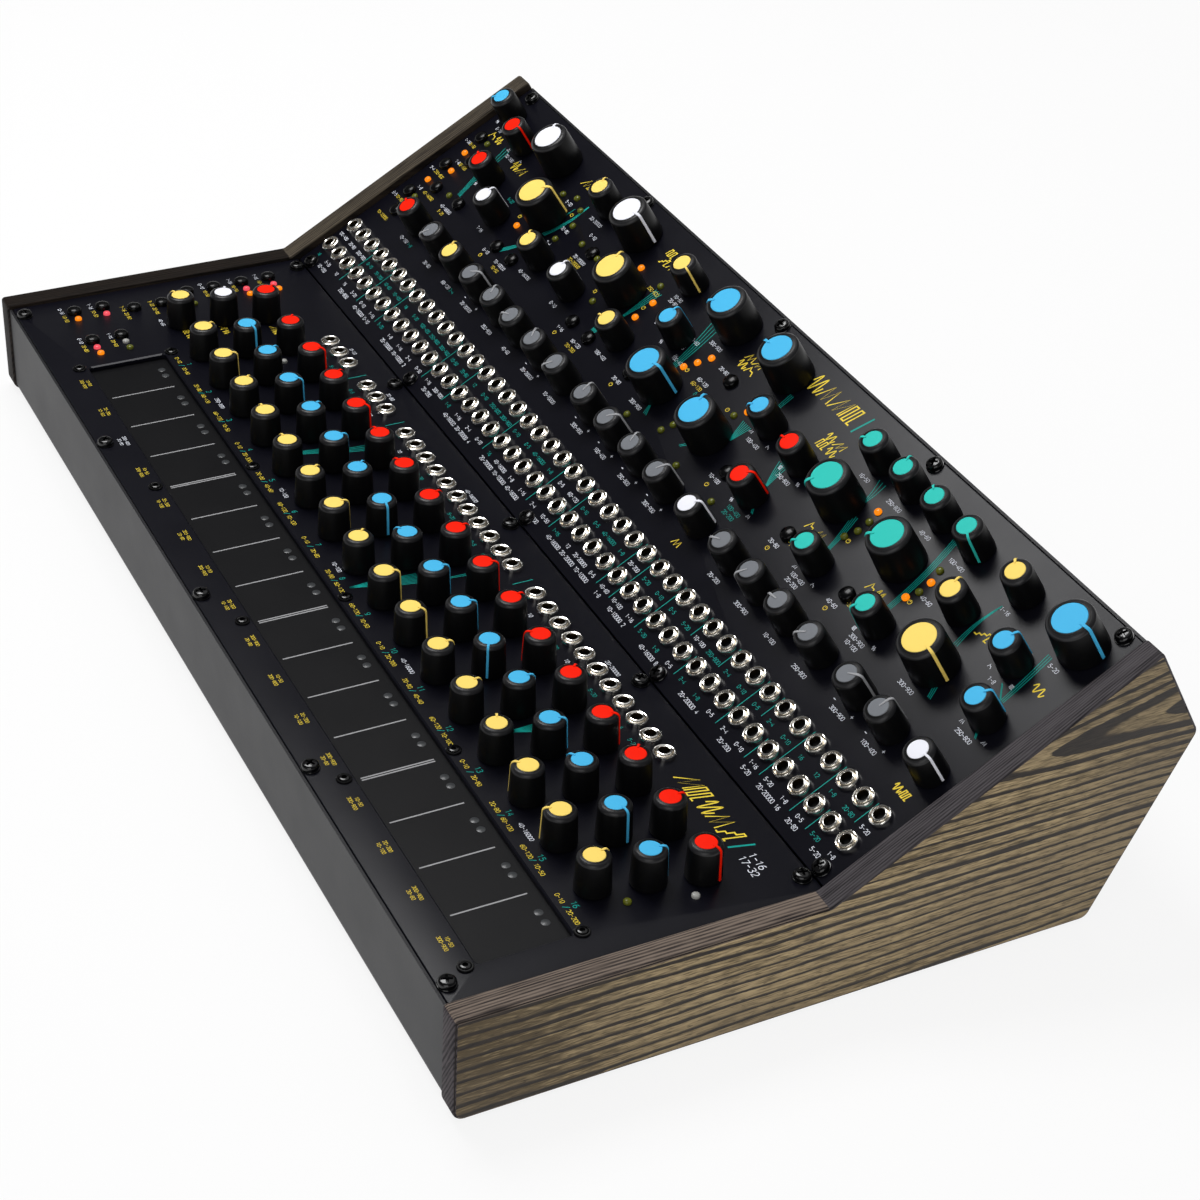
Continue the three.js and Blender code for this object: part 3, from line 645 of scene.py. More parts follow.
@dataclass(frozen=True)
class AshEdge(Finish):
    """A cheek's narrow edge: fine dark lines that run along it, a little astray."""

    pale: Colour = (0.1, 0.08, 0.07, 1.0)
    dark: Colour = (0.02, 0.02, 0.02, 1.0)
    turn: Triple = (0.0, 0.0, 0.0)
    stray: float = 0.0
    spacing: float = 1.15
    drawn: Triple = (1.0, 0.04, 0.6)

    def paint(self, graph: Graph) -> None:
        """Lines come from the place across the edge, moved by noise that is drawn out along it."""
        at = graph.coordinates(turn=self.turn)
        loose = tuple(0.8 * part for part in self.drawn)
        sway = graph.noise(9.0, loose, detail=2.0, turn=self.turn) * 5.5
        across = graph.axis(at, 0) + graph.axis(at, 1) * self.stray + sway
        phase = (across * (1 / self.spacing)).fraction()
        line = phase.rise(0.0, 0.4) * (1 - phase.rise(0.5, 0.95))
        fibre = graph.noise(0.5, self.drawn, detail=3.0, turn=self.turn)
        patches = graph.noise(6.0, self.drawn, detail=2.0, turn=self.turn)
        tone = (line * 0.24 + fibre * 0.62 + patches * 0.46).rise(0.42, 0.84)
        colour = graph.blend(tone, self.dark, self.pale)
        graph.shade(Base_Color=colour, Roughness=0.66 - tone * 0.1, Specular_IOR_Level=0.08,
                    Normal=graph.bump(line * 0.5 + fibre * 0.5, 0.1, 0.6))


class Cap(Enum):
    """Colours of the knobs' caps and pointers."""

    YELLOW = linear(245, 214, 110)
    WHITE = linear(232, 233, 241)
    BLUE = linear(72, 178, 225)
    RED = linear(243, 28, 0)
    TEAL = linear(48, 190, 178)
    GREY = linear(114, 117, 122)

    def finish(self) -> Finish:
        """The cap's satin plastic."""
        return Moulded(f"cap_{self.name.lower()}", self.value, 0.5, 0.5, 0.01, 0.05, 0.06)


PANEL = Moulded("panel_black", linear(11, 11, 19), 0.3, 0.35, 0.03, 0.2, 0.16)
CASE_STEEL = Moulded("case_powder_coat", linear(32, 32, 35), 0.45, 0.5, 0.05, 0.12, 0.22)
# Painted highlight: the window's left cut edge is a paler grey, standing for the light that catches it from the
# right.
WINDOW_EDGE_HIGHLIGHT = Moulded("window_edge_worn", linear(92, 92, 95), 0.45, 0.4, 0.02, 0.2, 0.3)
KNOB = Moulded("knob_soft_black", linear(9, 9, 10), 0.4, 0.3, 0.02, 0.2, 0.2)
# Painted highlight: the shoulder ring is a paler grey than the knob's black, standing for the sheen on the
# rounded shoulder.
KNOB_SHOULDER_HIGHLIGHT = Moulded("knob_shoulder", linear(27, 27, 29), 0.34, 0.3, 0.01, 0.15, 0.35)
GREY_LINE = Moulded("pointer_grey", linear(152, 153, 156), 0.5, 0.4, 0.01, 0.06, 0.1)
GLOSS = Moulded("button_black", linear(4, 4, 5), 0.2, 0.8, 0.01, 0.2, 0.22)
SCREW = Moulded("screw_black", linear(5, 5, 6), 0.14, 0.5, 0.02, 0.2, 0.5)
# Black parts and painted shade: in the jacks this floor close under the collar stands for the dark depth of the
# bore; the screw pits and the inlet floor are black parts.
PIT_BLACK_AND_SHADE = Moulded("pit_black", linear(5, 5, 6), 0.6, 0.5, 0.01, 0.2, 0.1)
TOUCH = Moulded("touch_coat", linear(14, 14, 16), 0.36, 0.3, 0.02, 0.15, 0.14)
TOUCH_LINE = Moulded("touch_line", linear(150, 150, 152), 0.5, 0.3, 0.01, 0.1, 0.2)
TOUCH_DOT = Moulded("touch_dot", linear(56, 58, 60), 0.3, 0.3, 0.01, 0.1, 0.4)
RUBBER = Moulded("foot_rubber", linear(22, 22, 23), 0.85, 0.6, 0.05, 0.15, 0.2)
MOULDING = Moulded("moulding_black", linear(16, 16, 18), 0.38, 0.6, 0.02, 0.2, 0.4)
BOARD = Moulded("board_green", linear(22, 74, 44), 0.4, 1.4, 0.02, 0.2)
FLAT_CABLE = Moulded("ribbon_grey", linear(140, 143, 148), 0.6, 1.27, 0.05, 0.1)
NICKEL = Metal("nickel", (1.0, 0.98, 0.93, 1.0), 0.13, 0.05)
# Painted shade: the groove between nut and collar is a darker, browner nickel for the shade in that crevice.
NICKEL_PAINTED_SHADE = Metal("nickel_groove", (0.56, 0.51, 0.44, 1.0), 0.22, 0.3)
# Partly painted shade: the bore's contacts are brass, darkened to near brown-black for the shade down the hole.
BORE_BRASS_SHADE = Metal("bore", (0.15, 0.11, 0.06, 1.0), 0.3)
ARRIS = Moulded("ash_arris", linear(33, 29, 27), 0.7, 0.6, 0.05, 0.3, 0.15)
ALUMINIUM = Metal("aluminium", (0.78, 0.79, 0.8, 1.0), 0.34)


class Ink(Enum):
    """Printing inks of the panels."""

    WHITE = linear(228, 232, 242)
    TEAL = linear(0, 152, 142)
    YELLOW = linear(232, 205, 62)

    def finish(self) -> Finish:
        """The ink, matt and a little uneven."""
        return Moulded(f"ink_{self.name.lower()}", self.value, 0.55, 0.3, 0.01, 0.12, 0.15)


# The panels and what stands on them ----------------------------------------------------------


@dataclass(frozen=True)
class PanelSize:
    """Sizes that both panels share, and the places of their screws."""

    width: float = 463.0
    depth: float = 128.5
    thickness: float = 2.0
    corner: float = 0.8
    edge: float = 0.35
    lower_reach: float = 1.15
    upper_reach: float = 0.45
    screw_columns: tuple[float, ...] = (8.0, 120.35, 233.8, 342.3, 455.04)
    lower_screw_rows: tuple[float, ...] = (3.0, 126.1)
    upper_screw_rows: tuple[float, ...] = (2.9, 125.5)
    first_pad: float = 60.0
    pad_pitch: float = 24.384
    pads: int = 16
    window: Pair = (14.8, 47.6)
    lower_knob_x: float = 38.45
    lower_knob_share: float = 0.4848
    upper_knob_shares: Pair = (0.7054, 0.885)

    def lower(self) -> PanelFrame:
        """The lower panel's frame, from its first knob."""
        return PanelFrame.through("lower_knob_01_turn", self.lower_knob_x, self.lower_knob_share * self.depth)

    def upper(self) -> PanelFrame:
        """The upper panel's frame, from its first small knob."""
        x, y = self.upper_knob_shares
        return PanelFrame.through("upper_knob_01_turn", x * self.width, y * self.depth)

    def both(self, lower: object, upper: object) -> tuple[tuple, tuple]:
        """Each panel's name, frame and part."""
        return ("lower", self.lower(), lower), ("upper", self.upper(), upper)

    def pad_middle(self, index: Array | float) -> Array | float:
        """Middle of a pad, the first one being 0."""
        return self.first_pad + (index + 0.5) * self.pad_pitch

    def shares(self, table: Sequence[tuple]) -> Array:
        """Places from shares of the width and depth."""
        return np.array([row[:2] for row in table]) * (self.width, self.depth)


@dataclass
class Fitting:
    """What stands on the panels or borders them, by their sizes."""

    size: PanelSize = PanelSize()


@dataclass
class Panels(Fitting):
    """The two front plates, with the window over the touch plate."""

    window_round: float = 1.5
    window_bevel: float = 0.5

    def rectangle(self, x0: float, x1: float, y0: float, y1: float, radius: float) -> tuple[Array, Array]:
        """A rounded rectangle's outline and normals."""
        return rounded_loop([(x0, y0, radius), (x1, y0, radius), (x1, y1, radius), (x0, y1, radius)])

    def dress(self) -> None:
        """Builds both plates in place of the CAD ones."""
        size = self.size
        right = size.first_pad + size.pads * size.pad_pitch
        window, _ = self.rectangle(size.first_pad, right, *size.window, self.window_round)
        for name, panel, (front, back, opening, finishes) in size.both(
                (0, size.depth + size.lower_reach, (window, self.window_bevel), [PANEL, WINDOW_EDGE_HIGHLIGHT]),
                (-size.upper_reach, size.depth, (), [PANEL])):
            outline = self.rectangle(0, size.width, front, back, size.corner)
            plate = slab(*outline, -size.thickness, 0.0, size.edge, *opening)
            build(f"{name}_plate", plate, panel.place, finishes, stands_for=[f"{name}_panel"])


@dataclass(frozen=True)
class KnobSize:
    """One size of knob: a soft black body with a coloured cap and a raised pointer."""

    skirt: float
    top: float
    height: float
    cap: float
    pointer_start: float
    pointer_width: float
    lift: float = 0.5
    shoulder_drop: float = 1.6
    sides: int = 40
    pointer_rise: float = 0.28

    def profile(self) -> list[Pair]:
        """Radius and height from the underside round the shoulder to the cap's middle."""
        low = self.height - self.shoulder_drop
        sweep = np.radians([0, 22, 45, 68, 90])
        reach = self.top - self.cap - 0.25
        shoulder = [(self.top - reach * (1 - math.cos(a)), low + self.shoulder_drop * math.sin(a))
                    for a in sweep]
        return [(0, self.lift), (self.skirt - 0.5, self.lift), (self.skirt - 0.1, self.lift + 0.15),
                (self.skirt, self.lift + 0.6), *shoulder, (self.cap + 0.15, self.height - 0.2),
                (self.cap, self.height - 0.02), (self.cap * 0.86, self.height + 0.03),
                (0, self.height + 0.05)]

    def body(self) -> Shape:
        """The knob without its pointer: slot 0 black, slot 1 cap, slot 2 the shoulder's ring, a paler painted
        highlight.
        """
        return turned(self.profile(), self.sides, [0, 0, 0, 0, 2, 2, 2, 0, 0, 1, 1, 1])

    def pointer(self) -> Shape:
        """A raised rib from within the cap, over the shoulder and down the side.

        Its cross-section is a flat-topped strip of the pointer's width, carried along the knob's own
        profile, which is moved outward by the pointer's rise.
        """
        rows = np.array(self.profile()[3:-2][::-1])
        rows = rows[rows[:, 0] != self.cap + 0.15]
        rows[0] = (self.pointer_start, self.height + 0.02)
        rows[-1, 1] = self.lift + 1.0
        steps = np.gradient(rows, axis=0)
        out = np.column_stack([-steps[:, 1], steps[:, 0]])
        out /= np.linalg.norm(out, axis=1)[:, None]
        crest, root = rows + out * self.pointer_rise, rows - out * 0.35
        half = np.where(rows[:, 0] < self.cap, 0.25, 0.5) * self.pointer_width
        section = [(root, -half), (crest, -half * 0.8), (crest, half * 0.8), (root, half)]
        rings = np.stack([np.column_stack([line[:, 0], side, line[:, 1]]) for line, side in section],
                         axis=1)
        ends = np.array([[3, 2, 1, 0]]), (len(rows) - 1) * 4 + np.array([[0, 1, 2, 3]])
        return surface(rings.reshape(-1, 3), [ring_faces(len(rows), 4), *ends])

    def whole(self) -> Shape:
        """Body and pointer, the pointer in slot 3."""
        return joined([self.body(), self.pointer().in_slot(3)])


@dataclass
class Knobs(Fitting):
    """All knobs: those that turn ride on their own bodies, the others stand in fields."""

    small: KnobSize = KnobSize(6.2, 5.72, 14.2, 3.55, 2.8, 1.0)
    large: KnobSize = KnobSize(9.1, 8.5, 16.9, 6.0, 4.6, 1.3)
    rows: tuple[float, ...] = (0.4848, 0.6218, 0.7588)
    first_column: float = 43.0
    column_shift: float = -0.4
    stagger: float = 4.15
    range_start: float = -60.0
    grey_pointer_start: float = 0.5
    large_caps: str = "WWBBBYYTTBBY"
    middle_turns: tuple[int, ...] = (
        153, 18, 114, 57, 117, 90, 132, 0, 213, 75, 75, 330, 87, 63, 210, 18, 81)
    back_turns: tuple[int, ...] = (
        120, 150, 51, 120, 45, 189, 204, 105, 99, 66, 102, 231, 135, 54, 141, 93, 27)
    field_table: tuple[tuple, ...] = (
        (0.0255, 0.885, "B", 222), (0.0752, 0.838, "R", 12), (0.2359, 0.885, "Y", 120),
        (0.394, 0.885, "Y", 354), (0.8991, 0.885, "Y", 144), (0.4391, 0.7355, "B", 96),
        (0.597, 0.7335, "B", 213), (0.6516, 0.7175, "R", 186), (0.8752, 0.734, "Y", 108),
        (0.9436, 0.734, "B", 81), (0.0877, 0.674, "R", 159), (0.1393, 0.597, "W", 90),
        (0.2352, 0.597, "Y", 138), (0.2974, 0.597, "W", 102), (0.3929, 0.597, "Y", 192),
        (0.6469, 0.5525, "R", 48), (0.7484, 0.5495, "T", 216), (0.8363, 0.5495, "T", 240),
        (0.968, 0.583, "B", 69),
    )
    front_table: tuple[tuple, ...] = (
        (0.0795, "R", 162), (0.1343, "G", 240), (0.178, "Y", 126), (0.2235, "G", 36), (0.2687, "G", 126),
        (0.3093, "G", 204), (0.3536, "G", 129), (0.3983, "G", 237), (0.4525, "G", 102), (0.4961, "G", 51),
        (0.54, "G", 114), (0.584, "G", 66), (0.638, "W", 51), (0.694, "G", 204), (0.7374, "G", 240),
        (0.7808, "G", 186), (0.8255, "G", 222), (0.8803, "G", 33), (0.9235, "G", 87), (0.9752, "W", 9),
    )
    front_share: float = 0.386

    def cap(self, letter: str) -> Cap:
        """A cap's colour, from the first letter of its name."""
        return next(cap for cap in Cap if cap.name.startswith(letter))

    def finishes(self, cap: Cap) -> list[Finish]:
        """A knob's four finishes; a grey cap has a paler pointer."""
        return [KNOB, cap.finish(), KNOB_SHOULDER_HIGHLIGHT, GREY_LINE if cap is Cap.GREY else cap.finish()]

    def column(self, index: int, row: int) -> Pair:
        """Place of a knob on the lower panel."""
        middle = float(self.size.pad_middle(index - 1)) if index else self.first_column
        return middle + self.column_shift + (row - 1) * self.stagger, self.rows[row] * self.size.depth

    def field_piece(self, name: str, panel: PanelFrame, spots: Sequence[Pair], caps: Sequence[str],
                    turns: Sequence[float]) -> None:
        """Builds one piece of several small knobs, by the colours of their caps."""
        parts, finishes = [], []
        for letter in sorted(set(caps)):
            chosen = [i for i, cap in enumerate(caps) if cap == letter]
            knob = replace(self.small, pointer_start=self.grey_pointer_start) if letter == "G" else self.small
            part = knob.whole().stamped(np.array(spots)[chosen], np.array(turns)[chosen])
            parts.append(Shape(part.points, part.corners, part.counts, part.slots + len(finishes)))
            finishes += self.finishes(self.cap(letter))
        build(name, joined(parts), panel.place, finishes)

    def dress(self) -> None:
        """Builds the turning knobs one by one, then the fields of fixed ones."""
        for joint in frame["joints"]:
            body = joint["child"]
            if "_knob_" not in body:
                continue
            big = body.startswith("large")
            small_letter = "Y" if body.startswith("lower") else "T"
            letter = self.large_caps[int(body[-2:]) - 1] if big else small_letter
            turn = self.range_start - joint["range_deg"][0]
            shape = (self.large if big else self.small).whole().stamped(np.zeros((1, 3)), np.array([turn]))
            build(f"{body}_cap", shape, PanelFrame.on(joint).place, self.finishes(self.cap(letter)), body,
                  [body])
        columns = len(self.middle_turns)
        for row, name, caps, turns in ((1, "middle", "W" + "B" * (columns - 1), self.middle_turns),
                                       (2, "back", "R" * columns, self.back_turns)):
            spots = [self.column(i, row) for i in range(columns)]
            self.field_piece(f"lower_{name}_knobs", self.size.lower(), spots, caps, turns)
        front = [(share, self.front_share, cap, turn) for share, cap, turn in self.front_table]
        for name, table in (("field", self.field_table), ("front", front)):
            self.field_piece(f"upper_{name}_knobs", self.size.upper(), self.size.shares(table),
                             [row[2] for row in table], [row[3] for row in table])


@dataclass
class Jacks(Fitting):
    """Jack sockets: a dished nickel nut round the collar and bore of a 3.5 mm socket."""

    pitch: float = 10.16
    upper_start: float = 6.15
    upper_rows: tuple[float, ...] = (14.6, 28.1)
    upper_columns: int = 45
    lower_start: float = 77.1
    lower_row: float = 114.7
    lower_groups: tuple[tuple[int, int], ...] = ((0, 3), (4, 3), (8, 11), (20, 11))
    sides: int = 28
    notch_depth: float = 0.3
    first_turn: int = 40
    turn_step: float = 67.0
    turn_span: int = 50

    def socket(self) -> Shape:
        """The turned nut and collar, with two small notches in the nut's rim; slot 1 is the groove between
        them, darkened as painted shade, slot 2 the bore, its brass darkened as painted shade, and slot 3 the
        black floor, which also stands for the bore's dark depth.
        """
        nut = [(4.05, 0.0), (4.05, 1.25), (3.95, 1.55), (3.7, 1.7), (3.42, 1.6), (3.25, 1.3), (2.76, 0.95)]
        collar = [(2.72, 2.0), (2.6, 2.25), (2.35, 2.33), (2.12, 2.25), (1.98, 1.95), (1.9, 0.06), (0, 0.06)]
        lift = np.zeros((len(nut + collar) - 1, self.sides))
        lift[2:4, ::self.sides // 2] = -self.notch_depth
        return turned(nut + collar, self.sides, [0] * 4 + [1] * 2 + [0] * 5 + [2, 3], lift)

    def lower_places(self) -> Array:
        """Places of the lower panel's sockets."""
        steps = np.concatenate([np.arange(first, first + count) for first, count in self.lower_groups])
        return extended(self.lower_start + steps * self.pitch, self.lower_row)

    def upper_places(self) -> Array:
        """Places of the upper panel's sockets, row by row."""
        x = self.upper_start + np.arange(self.upper_columns) * self.pitch
        return np.concatenate([extended(x, row) for row in self.upper_rows])

    def dress(self) -> None:
        """Builds the sockets, each nut stopped at its own angle."""
        socket = self.socket()
        for name, panel, places in self.size.both(self.lower_places(), self.upper_places()):
            turns = self.first_turn + np.arange(len(places)) * self.turn_step % self.turn_span
            build(f"{name}_jacks", socket.stamped(places, turns), panel.place,
                  [NICKEL, NICKEL_PAINTED_SHADE, BORE_BRASS_SHADE, PIT_BLACK_AND_SHADE])


@dataclass
class Buttons(Fitting):
    """Round glossy push buttons, of which some travel."""

    upper_table: tuple[Pair, ...] = (
        (0.0322, 0.3615), (0.0194, 0.443), (0.0423, 0.5175), (0.0194, 0.599), (0.0423, 0.6675),
        (0.0194, 0.7535), (0.0866, 0.532), (0.1771, 0.5255), (0.2071, 0.5285), (0.2715, 0.7335),
        (0.3328, 0.532), (0.3646, 0.531), (0.436, 0.548), (0.6069, 0.548),
    )
    lower_table: tuple[Pair, ...] = (
        (0.0395, 0.3725), (0.0395, 0.4685), (0.0268, 0.571), (0.0268, 0.6665), (0.0268, 0.7655),
        (0.0268, 0.8625), (0.0845, 0.1785), (0.0845, 0.276),
    )

    def dome(self) -> Shape:
        """A plunger with a domed top."""
        return turned([(0, -1.5), (3.1, -1.5), *crown(3.1, 1.3, 1.3, 7)], 32)

    def dress(self) -> None:
        """Builds the buttons that travel on their bodies, and the others as two pieces."""
        dome = self.dome()
        for joint in frame["joints"]:
            body = joint["child"]
            if "_button_" in body:
                at = PanelFrame.on(joint, -1)
                build(f"{body}_cap", dome, at.place, [GLOSS], body, [body])
        for name, panel, table in self.size.both(self.lower_table, self.upper_table)[::-1]:
            places = self.size.shares(table)
            build(f"{name}_buttons", dome.stamped(places), panel.place, [GLOSS])


class Glow(Enum):
    """Small lamps, lit or not: their colour and strength."""

    ORANGE = (linear(255, 138, 8), 0.95)
    PINK = (linear(244, 82, 96), 0.9)
    OLIVE = (linear(84, 88, 14), 0.0)
    CLEAR = (linear(150, 150, 146), 0.0)

    def finish(self) -> Finish:
        """The lamp's lens."""
        return Lens(f"lamp_{self.name.lower()}", *self.value)


@dataclass
class Lamps(Fitting):
    """Small round lamps in both panels."""

    lower_table: dict[Glow, tuple] = field(default_factory=lambda: {
        Glow.ORANGE: ((18.9, 23.1), (23.7, 98.5), (23.7, 111.7), (50.4, 23.1)),
        Glow.PINK: ((18.7, 35.6), (18.9, 98.5), (19.0, 111.0), (45.3, 23.1)),
        Glow.OLIVE: ((23.7, 73.2), (50.3, 35.7), (443.5, 69.5)),
        Glow.CLEAR: ((44.8, 35.7), (449.5, 90.6), (85.0, 90.9)),
    })
    upper_table: dict[Glow, tuple] = field(default_factory=lambda: {
        Glow.ORANGE: ((10.0, 66.4), (15.5, 76.6), (10.4, 86.7), (77.9, 80.1), (152.4, 104.1), (175.0, 97.0),
                      (175.5, 87.8), (217.7, 87.3), (220.7, 92.3), (223.6, 97.4), (343.7, 99.2), (385.7, 94.2),
                      (384.0, 84.4), (260.8, 92.2)),
        Glow.OLIVE: ((15.5, 96.6), (14.7, 56.8), (30.0, 68.2), (79.6, 103.9), (88.1, 106.7), (96.6, 103.9),
                     (101.9, 96.9), (101.9, 87.7), (116.0, 94.0), (169.4, 104.1), (150.9, 80.2), (345.1, 94.4),
                     (345.2, 89.2), (343.3, 84.4), (383.8, 99.3), (385.8, 89.0), (130.3, 94.0), (220.1, 58.4),
                     (241.3, 68.5), (239.5, 63.7), (260.7, 58.5), (257.7, 87.5), (288.0, 58.6)),
    })

    def lens(self) -> Shape:
        """A low dome on a short collar."""
        return turned([(1.45, -0.1), *crown(1.45, 0.6, 0.8, 6)], 20)

    def dress(self) -> None:
        """Builds one piece of lamps for each panel."""
        for name, panel, table in self.size.both(self.lower_table, self.upper_table):
            parts = [self.lens().stamped(np.array(spots)).in_slot(i) for i, spots in enumerate(table.values())]
            build(f"{name}_lamps", joined(parts), panel.place, [glow.finish() for glow in table])


@dataclass
class Screws(Fitting):
    """Pan-head panel screws with a cross recess on washers, and hex-socket screws in collars."""

    window_columns: tuple[float, ...] = (59.7, 157.7, 254.6, 352.1, 450.2)
    window_rows: tuple[float, ...] = (11.1, 50.5)
    sides: int = 40
    arm_half: float = 0.4
    arm_reach: float = 1.75
    arm_depth: float = 1.2
    socket_sides: int = 24
    socket_radius: float = 0.9
    flat_half: float = 0.88
    first_turn: int = 12
    turn_step: float = 37.0

    def grid(self, xs: Sequence[float], ys: Sequence[float]) -> Array:
        """All pairs of two lists of places."""
        return np.stack(np.meshgrid(xs, ys), axis=-1).reshape(-1, 2)

    def pan_head(self) -> Shape:
        """A domed head over polar rings, sunk where the point lies in either arm of the cross."""
        radii = np.array([3.05, 3.05, 2.9, 2.5, 2.1, 1.85, 1.6, 1.3, 1.0, 0.8, 0.62, 0.45, 0.3, 0.15])
        heights = np.array([0.6, 1.5, 1.95, 2.3, 2.45, 2.5, 2.56, 2.6, 2.63, 2.65, 2.66, 2.67, 2.68, 2.68])
        angles = np.arange(self.sides) * 2 * np.pi / self.sides
        x, y = radii[:, None] * np.cos(angles), radii[:, None] * np.sin(angles)
        in_arm = (np.minimum(abs(x), abs(y)) < self.arm_half) & (radii[:, None] < self.arm_reach)
        lift = np.where(in_arm, -self.arm_depth, 0.0)
        head = turned([*zip(radii, heights), (0, 1.5)], self.sides, lift=lift)
        washer = turned([(3.35, 0.0), (3.35, 0.35), (3.2, 0.5), (2.5, 0.6)], self.sides)
        return joined([head, washer])

    def socket_head(self) -> Shape:
        """A collar round a small head whose hexagonal pit narrows the inner ring's radius."""
        sides, pit = self.socket_sides, self.socket_radius
        collar = turned([(2.75, 0.0), (2.75, 0.5), (2.5, 0.7), (2.1, 0.7), (1.95, 0.25)], sides)
        angles = np.arange(sides) * 2 * np.pi / sides
        hexagon = self.flat_half / np.cos((angles + np.pi / 6) % (np.pi / 3) - np.pi / 6)
        head = turned([(1.95, 0.1), (1.85, 0.95), (1.5, 1.15), (pit, 1.15), (pit, 0.3), (0, 0.3)], sides,
                      [0, 0, 0, 1, 1])
        ring = np.hypot(head.points[:, 0], head.points[:, 1]).round(3) == pit
        head.points[ring, :2] *= (np.tile(hexagon, 2) / pit)[:, None]
        return joined([collar, head])

    def dress(self) -> None:
        """Builds the screws of both panels and of the window."""
        size, head = self.size, self.pan_head()
        for name, panel, rows in size.both(size.lower_screw_rows, size.upper_screw_rows):
            places = self.grid(size.screw_columns, rows)
            turns = np.arange(len(places)) * self.turn_step % 90 + self.first_turn
            build(f"{name}_screws", head.stamped(places, turns), panel.place, [SCREW])
        window = self.grid(self.window_columns, self.window_rows)
        build("window_screws", self.socket_head().stamped(window), self.size.lower().place, [SCREW, PIT_BLACK_AND_SHADE])


@dataclass
class TouchPads(Fitting):
    """The touch plate's printed lines and light dots; the plate itself is the CAD one."""

    top: float = -2.3
    span: Pair = (17.3, 43.7)
    line_width: float = 0.6
    line_lift: float = 0.03
    pair_half: float = 0.55
    dot_row: float = 43.2
    dot_offsets: Pair = (-3.55, 1.5)
    offset: float = -0.85

    def dress(self) -> None:
        """Dresses the plate, and lays a line after each pad, two after every fourth, and the dots."""
        repaint(frame["nodes"]["touch_plate"], TOUCH)
        size = self.size
        edges = size.first_pad + np.arange(1, size.pads) * size.pad_pitch + self.offset
        line = ribbon([(0, self.span[0]), (0, self.span[1])], self.line_width)
        single = edges[np.arange(1, size.pads) % 4 != 0]
        xs = np.concatenate([single, edges[3::4] - self.pair_half, edges[3::4] + self.pair_half])
        lines = line.stamped(extended(extended(xs, 0.0), self.top + self.line_lift))
        middles = size.pad_middle(np.arange(size.pads))
        dots_x = np.concatenate([middles + offset for offset in self.dot_offsets])
        disc = turned([(1.55, 0.0), (1.45, 0.06), (0, 0.07)], 24)
        dots = disc.stamped(extended(extended(dots_x, self.dot_row), self.top)).in_slot(1)
        build("touch_marks", joined([lines, dots]), size.lower().place, [TOUCH_LINE, TOUCH_DOT])


def repaint(node: bpy.types.Object, finish: Finish) -> None:
    """Gives a CAD node a finish in place of its plain material."""
    node.data.materials.clear()
    node.data.materials.append(finish.material())
    log.info("%s: dressed with %s", node.name, finish.name)


# Print ---------------------------------------------------------------------------------------

SIGNS: dict[str, tuple] = {
    "0": (((0, .2), (0, .8), (.15, 1), (.45, 1), (.6, .8), (.6, .2), (.45, 0), (.15, 0), (0, .2)),),
    "1": (((.1, .8), (.35, 1), (.35, 0)),),
    "2": (((0, .8), (.15, 1), (.45, 1), (.6, .8), (.6, .6), (.02, 0), (.6, 0)),),
    "3": (((0, .9), (.15, 1), (.45, 1), (.6, .8), (.45, .55), (.25, .55)),
          ((.45, .55), (.6, .35), (.6, .2), (.45, 0), (.15, 0), (0, .12))),
    "4": (((.45, 0), (.45, 1), (0, .3), (.6, .3)),),
    "5": (((.55, 1), (.08, 1), (.05, .58), (.4, .62), (.6, .42), (.6, .2), (.42, 0), (.15, 0), (0, .12)),),
    "6": (((.5, 1), (.2, .88), (0, .5), (0, .2), (.15, 0), (.45, 0), (.6, .2), (.6, .38), (.45, .56),
           (.15, .56), (0, .4)),),
    "7": (((0, 1), (.6, 1), (.2, 0)),),
    "8": (((.15, .55), (0, .75), (.15, 1), (.45, 1), (.6, .75), (.45, .55), (.15, .55), (0, .3), (.15, 0),
           (.45, 0), (.6, .3), (.45, .55)),),
    "9": (((.1, 0), (.4, .12), (.6, .5), (.6, .8), (.45, 1), (.15, 1), (0, .8), (0, .62), (.15, .44),
           (.45, .44), (.6, .6)),),
    "-": (((.05, .5), (.55, .5)),),
    "+": (((.05, .5), (.55, .5)), ((.3, .25), (.3, .75))),
    " ": (),
}

# Sine, ramp, square, triangle, envelope and steps, each in a square of side 1.
WAVES: tuple[Sequence[Pair], ...] = (
    [(t, 0.5 + 0.5 * math.sin(4 * math.pi * t)) for t in np.linspace(0, 1, 41)],
    ((0, 0), (.5, 1), (.5, 0), (1, 1), (1, 0)),
    ((0, 0), (0, 1), (.25, 1), (.25, 0), (.5, 0), (.5, 1), (.75, 1), (.75, 0), (1, 0)),
    ((0, 0), (.25, 1), (.5, 0), (.75, 1), (1, 0)),
    ((0, 0), (.18, 1), (.4, .55), (.72, .55), (1, 0)),
    ((0, 0), (.2, 0), (.2, .33), (.4, .33), (.4, .66), (.6, .66), (.6, 1), (.8, 1), (.8, 0), (1, 0)),
)


